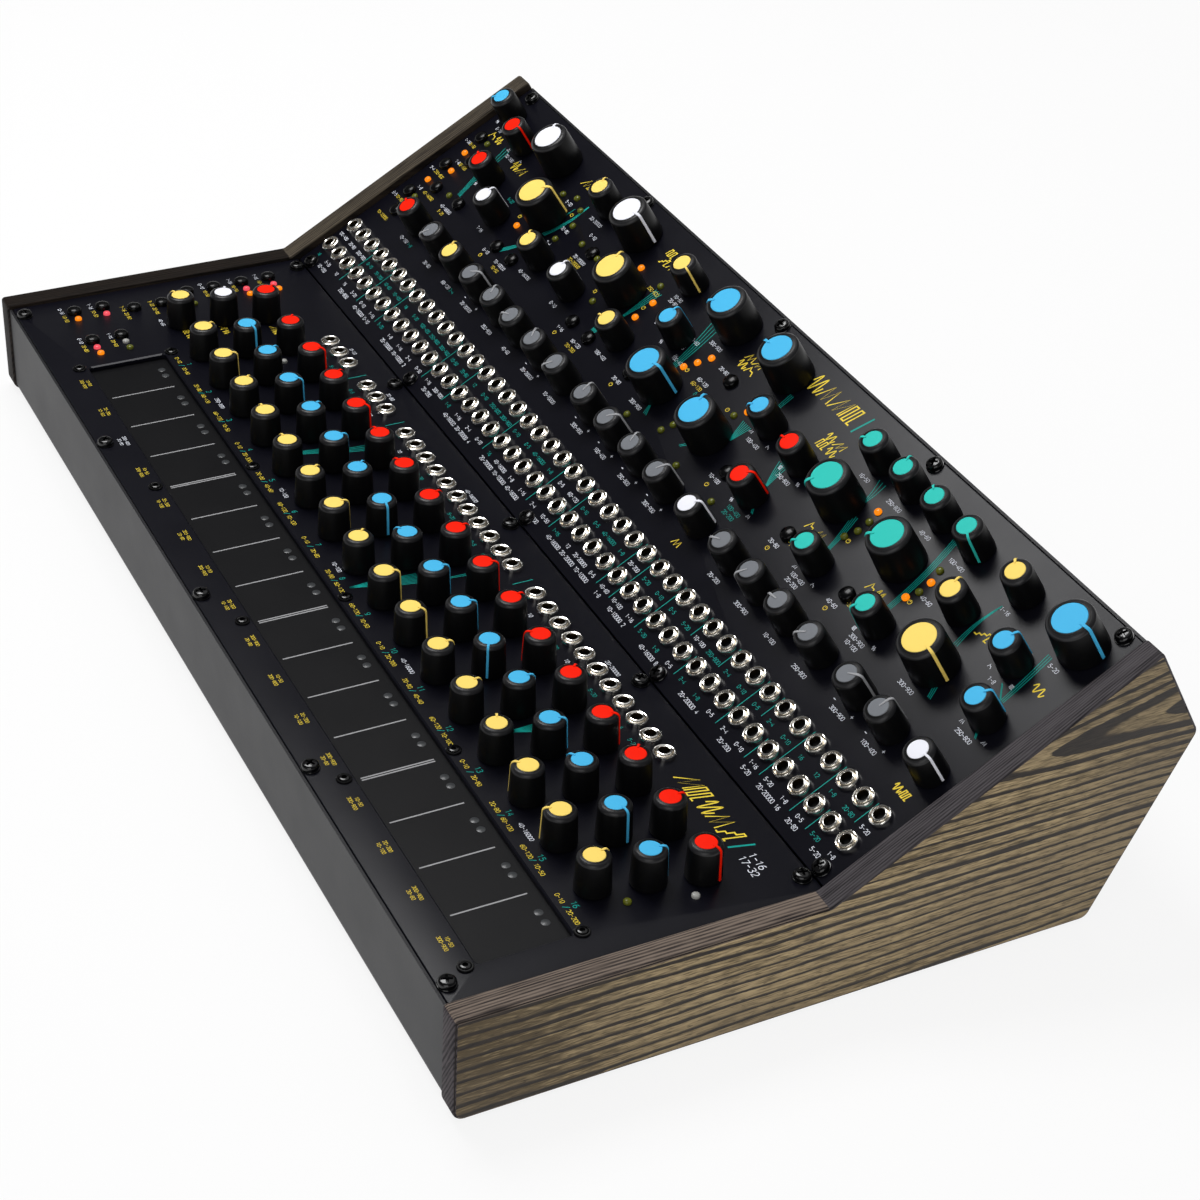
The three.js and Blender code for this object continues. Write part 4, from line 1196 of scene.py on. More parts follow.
@dataclass
class Sheet:
    """One panel's print, gathered stroke by stroke and laid as one piece."""

    strokes: list[Shape] = field(default_factory=list)
    lift: float = 0.03
    sign_step: float = 0.82
    sign_gap: float = 0.22
    pen: float = 0.12
    ring_width: float = 0.26
    wave_share: float = 0.86
    wave_slant: float = 0.22
    sweep_width: float = 0.32

    def stroke(self, path: Sequence[Pair] | Array, ink: Ink, width: float) -> None:
        """Adds one stroke."""
        self.strokes.append(ribbon(path, width, self.lift).in_slot(list(Ink).index(ink)))

    def text(self, words: str, x: float, y: float, ink: Ink, height: float = 1.5) -> None:
        """Adds figures and signs, centred on a point."""
        step = height * self.sign_step
        left = x - (len(words) * step - height * self.sign_gap) / 2
        for i, sign in enumerate(words):
            for path in SIGNS[sign]:
                at = (left + i * step, y - height / 2)
                self.stroke(np.array(path) * height + at, ink, height * self.pen)

    def ring(self, x: float, y: float, radius: float, ink: Ink) -> None:
        """Adds a small open ring with a tick."""
        t = np.radians(np.linspace(120, 420, 13))
        circle = np.column_stack([x + radius * np.cos(t), y + radius * np.sin(t)])
        for path in (circle, [(x, y + 0.1), (x, y + radius * 1.15)]):
            self.stroke(path, ink, self.ring_width)

    def waves(self, x: float, y: float, length: float, height: float, kinds: Sequence[int], ink: Ink,
              width: float) -> None:
        """Adds several waves in a row, slanted a little like handwriting."""
        part = length / len(kinds)
        for i, kind in enumerate(kinds):
            middle = x + (i + 0.5) * part - length / 2
            self.wave(middle, y, part * self.wave_share, height, kind, ink, width, self.wave_slant)

    def wave(self, x: float, y: float, length: float, height: float, kind: int, ink: Ink,
             width: float, slant: float = 0.0) -> None:
        """Adds one or two turns of a wave, whose kind is its place in WAVES."""
        path = (np.array(WAVES[kind]) - 0.5) * (length, height)
        self.stroke(path + (x, y) + np.outer(path[:, 1], (slant, 0)), ink, width)

    def sweep(self, x0: float, y0: float, x1: float, y1: float, bow: float, first: float, last: float,
              count: int) -> None:
        """Adds a bundle of thin teal strokes that bow sideways.

        Args:
            x0: Where the bundle's middle starts, along the panel.
            y0: Where it starts, up the panel.
            x1: Where it ends, along the panel.
            y1: Where it ends, up the panel.
            bow: How far it bows to the right.
            first: Half the bundle's width at the start.
            last: Half its width at the end.
            count: Strokes in the bundle.
        """
        t = np.linspace(0, 1, 15)
        for side in np.linspace(-1, 1, count) if count > 1 else (0.0,):
            x = x0 + (x1 - x0) * t + bow * np.sin(np.pi * t) + side * (first + (last - first) * t)
            self.stroke(np.column_stack([x, y0 + (y1 - y0) * t]), Ink.TEAL, self.sweep_width)


class Words(Enum):
    """Plain ranges of numbers that stand where the real panels have words, by length."""

    A = ("8", "10", "1-8", "0-10", "10-50", "10-100", "100-400", "20-20000")
    B = ("4", "16", "0-5", "1-16", "20-80", "20-200", "250-800", "10-10000")
    C = ("2", "12", "2-4", "5-20", "40-60", "60-120", "300-900", "40-16000")

    @classmethod
    def of(cls, length: int, place: int) -> str:
        """Ranges that fill a length, other ones at each next place."""
        if length > 8:
            return f"{cls.of(8, place)} {cls.of(length - 9, place + 1)}"
        return list(cls)[place % 3].value[length - 1]


Label = tuple[float, float, int]


@dataclass
class Print(Fitting):
    """Printed marks of both panels: numbers, signs, dividers and small wave shapes."""

    knobs: Knobs = field(default_factory=Knobs)
    jacks: Jacks = field(default_factory=Jacks)
    long_dividers: tuple[int, ...] = (3, 5, 7, 12, 14, 18, 22, 24, 28, 29, 31, 37, 40, 42)
    back_dividers: tuple[int, ...] = (33, 35, 38, 44)
    front_dividers: tuple[int, ...] = (34, 39, 43)
    group_lengths: tuple[int, ...] = (6, 7, 13, 19, 6, 19, 18, 7, 18, 3, 10, 10, 10, 6, 4, 11, 5, 4)
    back_lengths: str = "757465624777552477438336438364434673433422354"
    front_lengths: str = "242244443434473434283435428356443333334443343"
    back_white: tuple[int, ...] = (0, 1, 2, 22, 23, 28, 33, 44)
    front_teal: tuple[int, ...] = (0, 7, 14, 18, 24, 31, 32, 34, 35, 43)
    upper_labels: tuple[Label, ...] = (
        (11.5, 105, 4), (34, 99, 6), (87, 102.9, 4), (108.8, 105, 8), (100.6, 93.3, 5),
        (100.9, 84.4, 3), (182, 105.4, 5), (182, 102.8, 5),
        (219, 102, 7), (123, 88.5, 8), (63.5, 67.6, 4), (36.3, 62.9, 8), (79, 62.9, 4),
        (92.9, 62.9, 8), (108.5, 67.6, 8), (136.6, 67.6, 4), (152, 62.9, 4), (166, 63, 6), (181, 67, 7),
        (199.5, 64.7, 5), (218, 63.5, 7), (325.7, 104.7, 5), (345.7, 104.7, 7), (366, 104.7, 5),
        (386, 104.7, 7), (415.7, 104.7, 4), (447.5, 102, 4), (275.7, 85, 7), (301, 83.5, 7), (390.7, 88.5, 5),
        (435.7, 85, 3), (447, 65.5, 7), (415.7, 63, 7), (345.5, 62, 7), (345.5, 59.3, 6), (386, 62, 7),
        (386, 59.3, 6), (324.5, 64.7, 5), (365, 64.7, 5), (278.7, 65.5, 6), (206.5, 92.5, 4),
        (209, 97.6, 5), (212.5, 87.3, 7), (233.5, 97.2, 5), (231.5, 88.2, 6), (12.5, 81.6, 3), (4.0, 91.6, 4),
        (4.5, 71.6, 3), (11.0, 61.4, 3), (3.0, 51.4, 3), (88.5, 95.8, 4), (116, 99.5, 4),
        (160.5, 99.6, 5), (163.5, 87.9, 5), (187.6, 92.4, 4),
    )
    teal_labels: tuple[Label, ...] = (
        (298.7, 62.2, 7), (298.7, 59.6, 6), (60.2, 86.0, 4), (236.0, 83.0, 4), (331.0, 95.5, 4),
        (371.0, 95.5, 4))
    yellow_labels: tuple[Label, ...] = (
        (122.5, 86.0, 8), (168.8, 100.5, 7), (9.0, 91.6, 4), (17.5, 81.6, 6), (11.5, 71.6, 7), (20.0, 61.4, 8),
        (8.0, 51.4, 5), (10.6, 40.6, 8), (36.0, 60.2, 4), (93.0, 60.2, 5), (166.0, 60.2, 6),
        (231, 85.4, 6), (270, 91.0, 5), (329.5, 68.8, 4), (370.0, 68.8, 4))
    rings: tuple[Pair, ...] = (
        (95.0, 100.1), (73.5, 83.9), (146.3, 83.9), (78.8, 60.1), (151.9, 60.1), (199.5, 62.0), (278.7, 62.0),
        (173.5, 93.0), (220.2, 87.4), (252.6, 87.4), (324.4, 61.9), (365.0, 61.9), (346.0, 84.3), (386.6, 84.3))
    upper_waves: tuple[tuple, ...] = (
        (15.5, 101.5, 11, 3.4, (4, 0)), (44.5, 98.5, 11, 4.4, (0, 1)), (87, 114.8, 13, 4.6, (1, 3)),
        (160, 117, 12, 3.4, (2, 0)), (161, 112.8, 12, 3.4, (5, 3)), (240, 108.2, 11, 3.2, (3, 1)),
        (240, 104.2, 12, 3.2, (0, 4)), (302, 107, 12, 3.4, (0, 1)), (302, 103, 12, 3.4, (2, 0)),
        (332, 78.5, 10, 3.6, (4, 1)), (373.5, 78.5, 10, 3.6, (4, 0)), (418.5, 94, 8, 3.2, (5,)),
        (451, 93.5, 7, 3.2, (0,)), (294.3, 39, 5, 2.8, (3,)), (450, 38.5, 9, 2.8, (0, 2)),
    )
    upper_sweeps: tuple[tuple, ...] = (
        (27.9, 101.0, 31.0, 83.0, 0.3, 2.0, 0.8, 3), (30.8, 82.0, 34.0, 71.2, 0.0, 1.4, 1.0, 4),
        (97.5, 107.6, 94.0, 85.4, 1.6, 0.3, 1.0, 3), (93.0, 103.0, 93.0, 96.5, -0.3, 0.0, 0.0, 1),
        (89.2, 73.8, 84.0, 67.0, 0.2, 0.9, 1.2, 4), (171.5, 102.0, 170.0, 84.8, 0.0, 2.2, 0.5, 4),
        (166.2, 73.1, 166.2, 71.6, 0.0, 1.4, 1.4, 6), (209.3, 107.5, 213.5, 84.8, 0.4, 2.8, 1.2, 4),
        (223.5, 67.5, 226.0, 63.4, 0.0, 0.4, 1.0, 3), (268.0, 108.5, 268.6, 101.8, 0.0, 1.0, 0.8, 3),
        (265.9, 88.7, 266.9, 79.8, 0.0, 2.9, 0.5, 6), (254.2, 66.8, 252.6, 64.6, 0.0, 0.6, 0.4, 2),
        (295.0, 87.4, 298.6, 77.4, -0.2, 2.6, 0.5, 5), (303.8, 68.2, 305.6, 66.4, 0.0, 0.4, 0.4, 2),
        (333.3, 108.0, 335.5, 97.8, 0.4, 2.0, 0.3, 3), (338.3, 92.5, 343.2, 77.5, 0.4, 1.5, 0.7, 4),
        (377.0, 110.4, 382.8, 77.9, 1.0, 1.2, 1.0, 4), (413.1, 105.4, 414.2, 84.8, -1.1, 0.1, 0.9, 3),
        (423.2, 70.6, 425.6, 66.0, 0.0, 0.9, 0.7, 3), (442.6, 104.3, 445.4, 82.3, 0.2, 1.0, 0.7, 3),
        (439.4, 86.8, 444.6, 82.3, 0.0, 0.2, 0.2, 2), (449.5, 69.2, 450.8, 67.6, 0.0, 0.3, 0.3, 2),
    )
    front_label_lengths: tuple[int, ...] = (6, 5, 6, 8, 7, 5, 8, 8, 7, 7, 7, 7, 0, 6, 7, 6, 7, 7, 7, 0)
    signed_knobs: tuple[int, ...] = (3, 6, 8, 9, 10, 11, 17, 18)
    second_labels: tuple[int, ...] = (0, 2)
    lower_group_lengths: tuple[int, ...] = (4, 5, 8, 8)
    lower_dividers: tuple[int, ...] = (3, 7, 19)
    button_labels: tuple[Pair, ...] = (
        (9.3, 106), (9.3, 94), (9.3, 81), (16.5, 68.5), (16.5, 56), (16.5, 43.5), (9.6, 31), (9.6, 18.3),
        (37.2, 31), (37.2, 18.3))
    lower_waves: tuple[tuple, ...] = (
        (58.0, 97.0, 7.5, 2.6, (1, 0)), (50.0, 77.5, 7.5, 2.6, (5, 0)), (48.0, 62.0, 7.5, 2.6, (2, 0)))
    lower_labels: tuple[Label, ...] = (
        (34, 54.9, 5), (107, 54.9, 7), (180, 54.9, 6), (235, 54.9, 6), (302, 54.9, 8), (400, 54.9, 8))
    lower_sweeps: tuple[tuple, ...] = (
        (161.2, 97.2, 159.8, 88.0, 0.0, 2.0, 1.2, 4), (156.6, 79.0, 155.0, 71.6, 0.0, 1.5, 1.1, 5),
        (257.8, 97.0, 257.3, 89.8, 0.0, 0.5, 0.3, 2), (253.2, 80.2, 252.4, 72.6, 0.0, 3.1, 2.5, 8),
        (250.1, 61.6, 249.4, 54.3, 0.0, 1.4, 0.2, 6), (351.6, 81.0, 350.2, 73.4, 0.0, 2.2, 0.5, 8),
    )

    def dividers(self, sheet: Sheet, start: float, columns: Sequence[int], span: Pair, width: float) -> None:
        """Draws a teal line before each of some columns of sockets."""
        for column in columns:
            x = start + (column - 0.5) * self.jacks.pitch
            sheet.stroke([(x, span[0]), (x, span[1])], Ink.TEAL, width)

    def title(self, sheet: Sheet, x: float, y: float, length: float, kinds: Sequence[int],
              bar: Sequence[Pair]) -> None:
        """Draws a row of large waves where the panel has its title, with a teal bar after it."""
        sheet.waves(x, y, length, 7.6, kinds, Ink.YELLOW, 0.62)
        sheet.stroke(bar, Ink.TEAL, 0.8)

    def jack_marks(self, sheet: Sheet) -> None:
        """Labels the upper panel's sockets and their groups, and draws the dividers between them."""
        start, pitch = self.jacks.upper_start, self.jacks.pitch
        group_row, front_row, back_row = 4.6, 7.9, 21.4
        bounds = (0, *sorted(self.long_dividers + self.front_dividers), self.jacks.upper_columns)
        for group, (first, after) in enumerate(zip(bounds, bounds[1:])):
            words = Words.of(self.group_lengths[group], group)
            sheet.text(words, start + (first + after - 1) / 2 * pitch, group_row, Ink.WHITE, 1.6)
        for i, (back, front) in enumerate(zip(self.back_lengths, self.front_lengths)):
            x = start + i * pitch
            back_ink = Ink.WHITE if i in self.back_white else Ink.TEAL
            front_ink = Ink.TEAL if i in self.front_teal else Ink.WHITE
            sheet.text(Words.of(int(back), i), x, back_row, back_ink)
            sheet.text(Words.of(int(front), i + 1), x, front_row, front_ink)
        for columns, span in ((self.long_dividers, (7.0, 30.6)), (self.back_dividers, (20.5, 30.6)),
                              (self.front_dividers, (7.0, 17.2))):
            self.dividers(sheet, start, columns, span, 0.3)

    def front_marks(self, sheet: Sheet) -> None:
        """Labels the front row of knobs, with a minus and a plus sign beside most grey ones."""
        row = self.knobs.front_share * self.size.depth
        sign_row, label_row = row - 6.7, row - 9.3
        for i, ((share, _, _), length) in enumerate(zip(self.knobs.front_table, self.front_label_lengths)):
            x = share * self.size.width - 1.0
            if i in self.signed_knobs:
                for sign, side in (("-", -5.6), ("+", 5.6)):
                    sheet.text(sign, x + side, sign_row, Ink.WHITE, 2.4)
            if length:
                sheet.text(Words.of(length, i), x, label_row, Ink.WHITE)
            if i in self.second_labels:
                sheet.text(Words.of(3, i), x + 6.2, label_row, Ink.TEAL)

    def upper(self) -> Sheet:
        """The upper panel's print."""
        sheet = Sheet()
        self.jack_marks(sheet)
        self.front_marks(sheet)
        for ink, table in ((Ink.WHITE, self.upper_labels), (Ink.TEAL, self.teal_labels),
                           (Ink.YELLOW, self.yellow_labels)):
            for i, (x, y, length) in enumerate(table):
                sheet.text(Words.of(length, i), x, y, ink)
        for i, (share_x, share_y, cap, _) in enumerate(self.knobs.field_table):
            x, y = share_x * self.size.width, share_y * self.size.depth
            if cap in "TBR":
                for side, kind in ((-6.3, i % 5), (6.3, (i + 3) % 5)):
                    sheet.wave(x + side, y - 6.3, 1.7, 1.4, kind, Ink.WHITE, 0.22)
        for x, y in self.rings:
            sheet.ring(x, y, 0.85, Ink.YELLOW)
        for row in self.upper_waves:
            sheet.waves(*row, Ink.YELLOW, 0.5)
        self.title(sheet, 284, 118.5, 33, (0, 3, 1, 2), [(302.5, 113.6), (304.8, 123.2)])
        for row in self.upper_sweeps:
            sheet.sweep(*row)
        return sheet

    def pad_marks(self, sheet: Sheet) -> None:
        """Numbers the pads behind the touch plate, with labels behind it and in front of it."""
        for i in range(self.size.pads):
            x = float(self.size.pad_middle(i))
            sheet.text(f"{i + 1}", x, 54.0, Ink.TEAL, 2.0)
            sheet.text(Words.of(4 + i % 3, i), x - 4.6, 50.9, Ink.YELLOW)
            sheet.stroke([(x - 0.6, 49.8), (x + 0.6, 52.0)], Ink.TEAL, 0.26)
            sheet.text(Words.of(5 + i % 2, i + 1), x + 5.0, 50.9, Ink.YELLOW)
            ink = Ink.WHITE if i == 2 else Ink.YELLOW
            sheet.text(Words.of(5 + i % 3, i), x, 11.2, ink, 1.25)
            sheet.text(Words.of(7 - i % 3, i + 2), x, 8.9, ink, 1.25)

    def lower(self) -> Sheet:
        """The lower panel's print."""
        sheet = Sheet()
        self.pad_marks(sheet)
        start, pitch = self.jacks.lower_start, self.jacks.pitch
        group_row, socket_row = 120.9, 107.9
        for group, (first, count) in enumerate(self.jacks.lower_groups):
            words = Words.of(self.lower_group_lengths[group], group)
            sheet.text(words, start + (first + (count - 1) / 2) * pitch, group_row, Ink.WHITE)
            for i in range(first, first + count):
                ink = Ink.TEAL if i % 3 else Ink.WHITE
                sheet.text(Words.of(2 + i % 3, i), start + i * pitch, socket_row, ink)
        self.dividers(sheet, start + 0.5 * pitch, self.lower_dividers, (110.2, 118.5), 0.35)
        for x, y in self.button_labels:
            ink = Ink.YELLOW if x > 16 and y > 40 else Ink.WHITE
            sheet.text(Words.of(4, int(y)), x, y, ink)
            sheet.text(Words.of(5, int(x)), x + 6.9, y, Ink.YELLOW)
        for row in self.lower_waves:
            sheet.waves(*row, Ink.YELLOW, 0.4)
        for x, y, length in self.lower_labels:
            sheet.text(Words.of(length, length), x, y, Ink.WHITE)
        for row in self.lower_sweeps:
            sheet.sweep(*row)
        self.title(sheet, 412.5, 115.8, 37, (1, 2, 0, 3, 5), [(432.6, 111.4), (434.8, 120.4)])
        for words, x, y in (("1-16", 442.5, 116.9), ("17-32", 443.5, 113.1)):
            sheet.text(words, x, y, Ink.WHITE, 2.6)
        return sheet

    def dress(self) -> None:
        """Lays both sheets on their panels."""
        for name, panel, sheet in self.size.both(self.lower(), self.upper()):
            build(f"{name}_print", joined(sheet.strokes), panel.place, [ink.finish() for ink in Ink])


# The case ------------------------------------------------------------------------------------


@dataclass
class Cheeks(Fitting):
    """The two wooden cheeks: a wedge outline extruded across, with softened edges."""

    thickness: float = 9.5
    gap: float = 0.3
    edge: float = 0.9
    front: float = -2.2
    bottom: float = -39.6
    bottom_run: float = 231.0
    back_along: float = 129.56
    back_out: float = -39.4
    lower_rise: float = 1.5
    upper_rise: float = 3.4
    seam: float = 130.7
    tilt: float = math.radians(30)
    big_round: float = 4.0
    kink_round: float = 3.0
    small_round: float = 1.5

    def from_upper(self, along: float, out: float) -> Pair:
        """A point of the upper panel's frame in the lower one's depth and height."""
        cos, sin = math.cos(self.tilt), math.sin(self.tilt)
        return self.seam + along * cos - out * sin, along * sin + out * cos

    def outline(self) -> tuple[Array, Array]:
        """The wedge, from the front bottom corner round the back, with its normals."""
        kink = (self.lower_rise - self.upper_rise * math.cos(self.tilt)) / math.sin(self.tilt)
        return rounded_loop([
            (self.front, self.bottom, self.big_round), (self.bottom_run, self.bottom, self.big_round),
            (*self.from_upper(self.back_along, self.back_out), self.big_round),
            (*self.from_upper(self.back_along, self.upper_rise), self.small_round),
            (*self.from_upper(kink, self.upper_rise), self.kink_round),
            (self.front, self.lower_rise, self.small_round),
        ], 8)

    def board(self, inner_last: bool) -> Shape:
        """One cheek from x = 0 on.

        Rings of the outline run across the thickness, each moved inward by a quarter circle near
        both faces, and a flat face closes each end. Slot 0 is the outer face, 1 the lower top edge
        with the bottom and back, 2 the upper top edge, 3 the front end, 4 the inner face and 5 the
        dark line where the outer face meets its edges.

        Args:
            inner_last: Whether the inner face is the one away from x = 0.
        """
        outline, normals = self.outline()
        sweep = np.linspace(0, np.pi / 2, 5)
        by_sin, by_cos = self.edge * (1 - np.sin(sweep)), self.edge * (1 - np.cos(sweep))
        insets = np.concatenate([by_sin, by_cos])
        across = np.concatenate([by_cos, self.thickness - by_sin])
        rings = np.stack([np.column_stack([np.full(len(outline), x), outline - normals * inset])
                          for inset, x in zip(insets, across)])
        count = len(outline)
        walls = ring_faces(len(rings), count)
        side = np.arange(count)
        middle = (outline + np.roll(outline, -1, axis=0)) / 2
        facing = (normals + np.roll(normals, -1, axis=0)) / 2
        kind = np.ones(count, int)
        kind[(facing[:, 1] > 0.4) & (middle[:, 0] > self.seam - 5)] = 2
        kind[facing[:, 0] < -0.7] = 3
        last = (len(rings) - 1) * count
        caps = np.concatenate([side[None, ::-1], last + side[None, :]])
        shape = surface(rings.reshape(-1, 3), [walls, caps])
        faces = [0, 4] if inner_last else [4, 0]
        strips = np.tile(kind, (len(rings) - 1, 1))
        strips[1 if inner_last else -2, kind != 2] = 5
        return Shape(shape.points, shape.corners, shape.counts, np.concatenate([strips.ravel(), faces]))

    def dress(self) -> None:
        """Builds both cheeks in place of the CAD ones."""
        # Painted shade: the inner faces, which face the panels, are a much darker wood than the outer faces.
        face, inside = StainedAsh("ash_face"), AshEdge("ash_inside", linear(44, 37, 31), linear(20, 17, 16))
        level, slope = (0.0, 0.0, 0.0), (-30.0, 0.0, 0.0)
        steep = {"turn": (0.0, -27.0, 0.0), "spacing": 1.25, "drawn": (1.0, 0.5, 0.1)}
        left = [AshEdge("ash_edge_umber", linear(34, 27, 22), linear(11, 9, 8), level, 0.008, 1.3),
                AshEdge("ash_edge_dark", linear(84, 76, 64), linear(34, 30, 27), slope, -0.02, 0.9),
                # Painted shade: the left cheek's front end is a darker copy of the right one's, for the side
                # away from the light.
                AshEdge("ash_end_dark", linear(46, 41, 38), linear(16, 14, 14), **steep)]
        right = [AshEdge("ash_edge_brown", linear(120, 107, 97), linear(34, 30, 31), level, 0.012, 1.2),
                 AshEdge("ash_edge_black", linear(76, 72, 75), linear(32, 30, 32), slope, 0.03, 0.9),
                 AshEdge("ash_end", linear(77, 71, 74), linear(34, 31, 34), **steep)]
        for side, x, edges in (("left", -self.gap - self.thickness, left),
                               ("right", self.size.width + self.gap, right)):
            board = self.board(side == "left").moved(x, 0)
            build(f"{side}_board", board, self.size.lower().place, [face, *edges, inside, ARRIS],
                  stands_for=[f"{side}_cheek"])


@dataclass
class Case:
    """The folded tray, rails, feet and what lies inside, mostly CAD nodes that get their finishes."""

    foot_radius: float = 6.0
    foot_taper: float = 0.8
    foot_rim: float = 0.4

    def foot(self, name: str) -> None:
        """A rubber foot with a hollow underneath and a softened rim, in place of the faceted one."""
        low, high = (np.array(corner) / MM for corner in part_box(name))
        middle, top = (low + high) / 2, high[2] - low[2]
        base, rim = self.foot_radius - self.foot_taper, self.foot_rim
        shape = turned([(0, rim), (2.0, rim), (2.3, 0), (base - rim, 0), (base, rim),
                        (self.foot_radius, top), (0, top)], 32)
        build(f"{name}_rubber", shape.moved(middle[0], middle[1], low[2]), in_metres, [RUBBER],
              stands_for=[name])

    def dress(self) -> None:
        """Dresses the tray, the rails and the electronics, and builds the feet."""
        finishes = {"tray": CASE_STEEL, "rail": ALUMINIUM, "board": BOARD, "ribbon": FLAT_CABLE}
        for name, node in frame["nodes"].items():
            kind = name.rpartition("_")[2]
            if kind in finishes:
                repaint(node, finishes[kind])
        for end in ("front", "rear"):
            for side in ("left", "right"):
                self.foot(f"{end}_{side}_foot")


@dataclass
class RearFittings:
    """The inlet and the rocker switch in the back wall."""

    sides: int = 40
    inlet_along: float = 34.0
    rocker_out: float = 3.0
    rocker_half_bend: float = math.radians(8)
    sign_along: float = 4.4
    sign_radius: float = 1.4
    sign_width: float = 0.35
    sign_lift: float = 0.05

    def wall(self, joint: dict) -> Callable[[Array], Array]:
        """Takes points of the back wall's frame, about the rocker's pivot, to the row's metres."""
        up = -np.array(joint["axis"], float)
        out = np.cross((-1.0, 0.0, 0.0), up)
        axes = np.stack([(-1.0, 0.0, 0.0), up, out])
        return lambda points: np.array(joint["pos_m"]) + points @ axes * MM

    def inlet(self) -> Shape:
        """The inlet's flange, barrel, bore and pin, about its own axis and outer face."""
        return turned([(0, -14), (5, -14), (5, -1.6), (6, -1.6), (6, -0.35), (5.65, 0), (3.3, 0), (3.1, -0.2),
                       (3.1, -9), (1.05, -9), (1.05, -1.4), (0.75, -1), (0, -1)], self.sides,
                      [0] * 8 + [1, 2, 2, 2])

    def dress(self) -> None:
        """Dresses the switch, builds the inlet, and prints the rocker's on and off signs."""
        place = self.wall(joint_named("power_rocker_tilt"))
        for name in ("switch_bezel", "power_rocker"):
            repaint(frame["nodes"][name], MOULDING)
        barrel = self.inlet().moved(self.inlet_along, 0, self.rocker_out)
        build("inlet_barrel", barrel, place, [MOULDING, PIT_BLACK_AND_SHADE, NICKEL],
              stands_for=["power_inlet"])
        build("rocker_signs", self.signs(), place, [Ink.WHITE.finish()], "power_rocker")

    def signs(self) -> Shape:
        """A ring and a bar, each on its own half of the rocker's bent face, which is tilted at rest.

        A point at x lies at rocker_out + |x| tan(bend) over the pivot, and all are turned by the bend.
        """
        t = np.linspace(0, 2 * np.pi, 25)
        circle = self.sign_radius * np.column_stack([np.cos(t), np.sin(t)])
        bar = [(0, -self.sign_radius), (0, self.sign_radius)]
        marks = joined([ribbon(path, self.sign_width).moved(side * self.sign_along, 0, self.sign_lift)
                        for path, side in ((circle, -1), (bar, 1))])
        x, y, z = marks.points.T
        bend = self.rocker_half_bend
        height = self.rocker_out + abs(x) * math.tan(bend) + z
        points = np.column_stack([x * math.cos(bend) + height * math.sin(bend), y,
                                  height * math.cos(bend) - x * math.sin(bend)])
        return replace(marks, points=points)


# The studio ----------------------------------------------------------------------------------


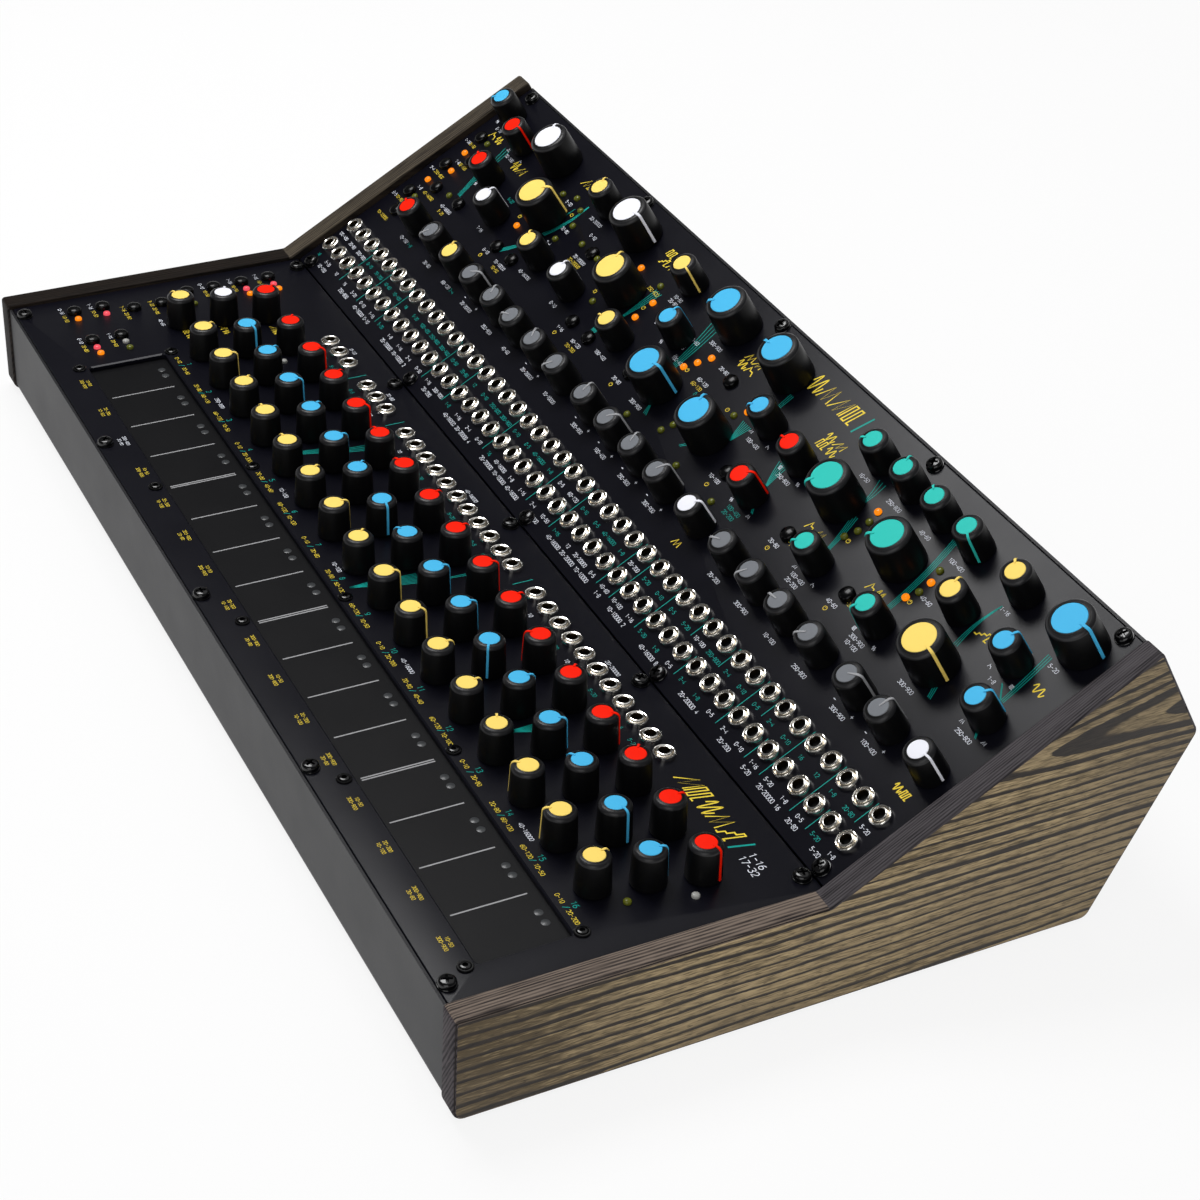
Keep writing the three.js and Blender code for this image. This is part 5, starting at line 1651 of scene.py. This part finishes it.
@dataclass
class Studio:
    """A pale floor, soft light and the camera at the photograph's angle. Its lengths are in metres."""

    lens: float = 77.04
    sensor: float = 36.0
    place: Triple = (0.73959, -0.361316, 0.57505)
    right: Triple = (0.44483, 0.89431, 0.04839)
    up: Triple = (-0.52755, 0.21798, 0.82109)
    forward: Triple = (-0.72376, 0.39077, -0.56875)
    lamps: tuple[tuple[str, float, float, Triple], ...] = (
        ("overhead", 4.0, 1.6, (-0.4, 0.35, 1.5)),
        ("soft_box", 8.8, 0.55, (-0.45, -0.12, 1.12)),
        ("front_fill", 7.4, 1.2, (1.3, -0.9, 0.9)),
    )
    aim: Triple = (0.0, 0.0, 0.05)
    lamp_up: Triple = (0.02, 1.0, 0.05)
    floor_half: float = 6.0
    floor_glow: float = 0.86
    glow_reach: Pair = (0.5, 2.2)
    light_strength: float = 0.42
    ceiling_height: float = 0.22
    ceiling_dark: float = 0.9

    @staticmethod
    def posed(thing: bpy.types.Object, right: Sequence[float], up: Sequence[float],
              back: Sequence[float], place: Sequence[float]) -> None:
        """Sets an object by its three axes and its place."""
        pose = np.eye(4)
        pose[:3] = np.column_stack([right, up, back, place])
        thing.matrix_world = Matrix(pose.tolist())

    def camera(self) -> None:
        """Adds the camera."""
        data = bpy.data.cameras.new("camera")
        data.lens, data.sensor_width = self.lens, self.sensor
        camera = link("camera", data)
        self.posed(camera, self.right, self.up, -np.array(self.forward), self.place)
        bpy.context.scene.camera = camera

    def floor(self) -> None:
        """A flat pale floor, shown at its own white far off, and with the object's shadow near it."""
        mesh = bpy.data.meshes.new("floor")
        half = self.floor_half
        mesh.from_pydata([(-half, -half, 0), (half, -half, 0), (half, half, 0), (-half, half, 0)],
                         [], [(0, 1, 2, 3)])
        white = bpy.data.materials.new("floor_white")
        graph = Graph(white)
        tone = graph.blend(graph.noise(900.0), linear(232, 232, 232), linear(236, 236, 236))
        graph.shade(Base_Color=tone, Roughness=0.9)
        glow = graph.node("ShaderNodeEmission", {}, {"Color": (1, 1, 1, 1), "Strength": 1.0})
        at = graph.node("ShaderNodeTexCoord").outputs["Object"]
        x, y = graph.axis(at, 0), graph.axis(at, 1)
        far = ((x * x + y * y) ** 0.5).rise(*self.glow_reach)
        share = self.seen(graph) * (self.floor_glow + far * (1 - self.floor_glow))
        mix = graph.node("ShaderNodeMixShader", {}, {
            0: share, 1: graph.shader.outputs[0], 2: glow.outputs[0]})
        graph.feed(graph.output, {"Surface": mix.outputs[0]})
        mesh.materials.append(white)
        link("floor", mesh)

    def seen(self, graph: Graph) -> Value:
        """One for rays that are seen: from the camera, mirrored or through glass."""
        rays = graph.node("ShaderNodeLightPath")
        camera, glossy, through = (Value(graph, rays.outputs[f"Is {kind} Ray"])
                                   for kind in ("Camera", "Glossy", "Transmission"))
        kinds = camera + glossy + through
        return kinds.maths("MINIMUM", kinds, 1.0)

    def lamp(self, name: str, power: float, size: float, place: Triple) -> None:
        """Adds a square area lamp that faces the object's middle."""
        data = bpy.data.lights.new(name, "AREA")
        data.energy, data.size = power, size
        back = unit(np.array(place) - self.aim)
        side = unit(np.cross(self.lamp_up, back))
        self.posed(link(name, data), side, np.cross(back, side), back, place)

    def world(self) -> None:
        """Plain surroundings: white where they are seen or mirrored, dimmer as light.

        Mirrored surroundings grow dim overhead, as in a studio with a dark ceiling.
        """
        world = bpy.data.worlds.new("surroundings")
        graph = Graph(world)
        graph.feed(graph.shader, {"Color": (1, 1, 1, 1), "Strength": self.light_strength})
        rays = graph.node("ShaderNodeLightPath")
        glossy = Value(graph, rays.outputs["Is Glossy Ray"])
        at = graph.node("ShaderNodeTexCoord").outputs["Generated"]
        ceiling = graph.axis(at, 2).rise(0.0, self.ceiling_height)
        strength = 1 - glossy * ceiling * self.ceiling_dark
        bright = graph.node("ShaderNodeBackground", {}, {"Strength": strength})
        bright.inputs["Color"].default_value = (1, 1, 1, 1)
        mix = graph.node("ShaderNodeMixShader", {}, {
            0: self.seen(graph), 1: graph.shader.outputs[0], 2: bright.outputs[0]})
        graph.feed(graph.output, {"Surface": mix.outputs[0]})
        bpy.context.scene.world = world

    def set_up(self) -> None:
        """Sets up the whole studio."""
        bpy.context.scene.view_settings.view_transform = "Standard"
        self.camera()
        self.floor()
        for row in self.lamps:
            self.lamp(*row)
        self.world()


def main() -> None:
    """Builds each sub-assembly in order."""
    logging.basicConfig(level=logging.INFO, format="%(message)s")
    Studio().set_up()
    for part in (Cheeks(), Case(), Panels(), TouchPads(), Knobs(), Jacks(), Buttons(), Lamps(), Screws(),
                 Print(), RearFittings()):
        log.info("building %s", type(part).__name__)
        part.dress()


if __name__ == "__main__":
    main()
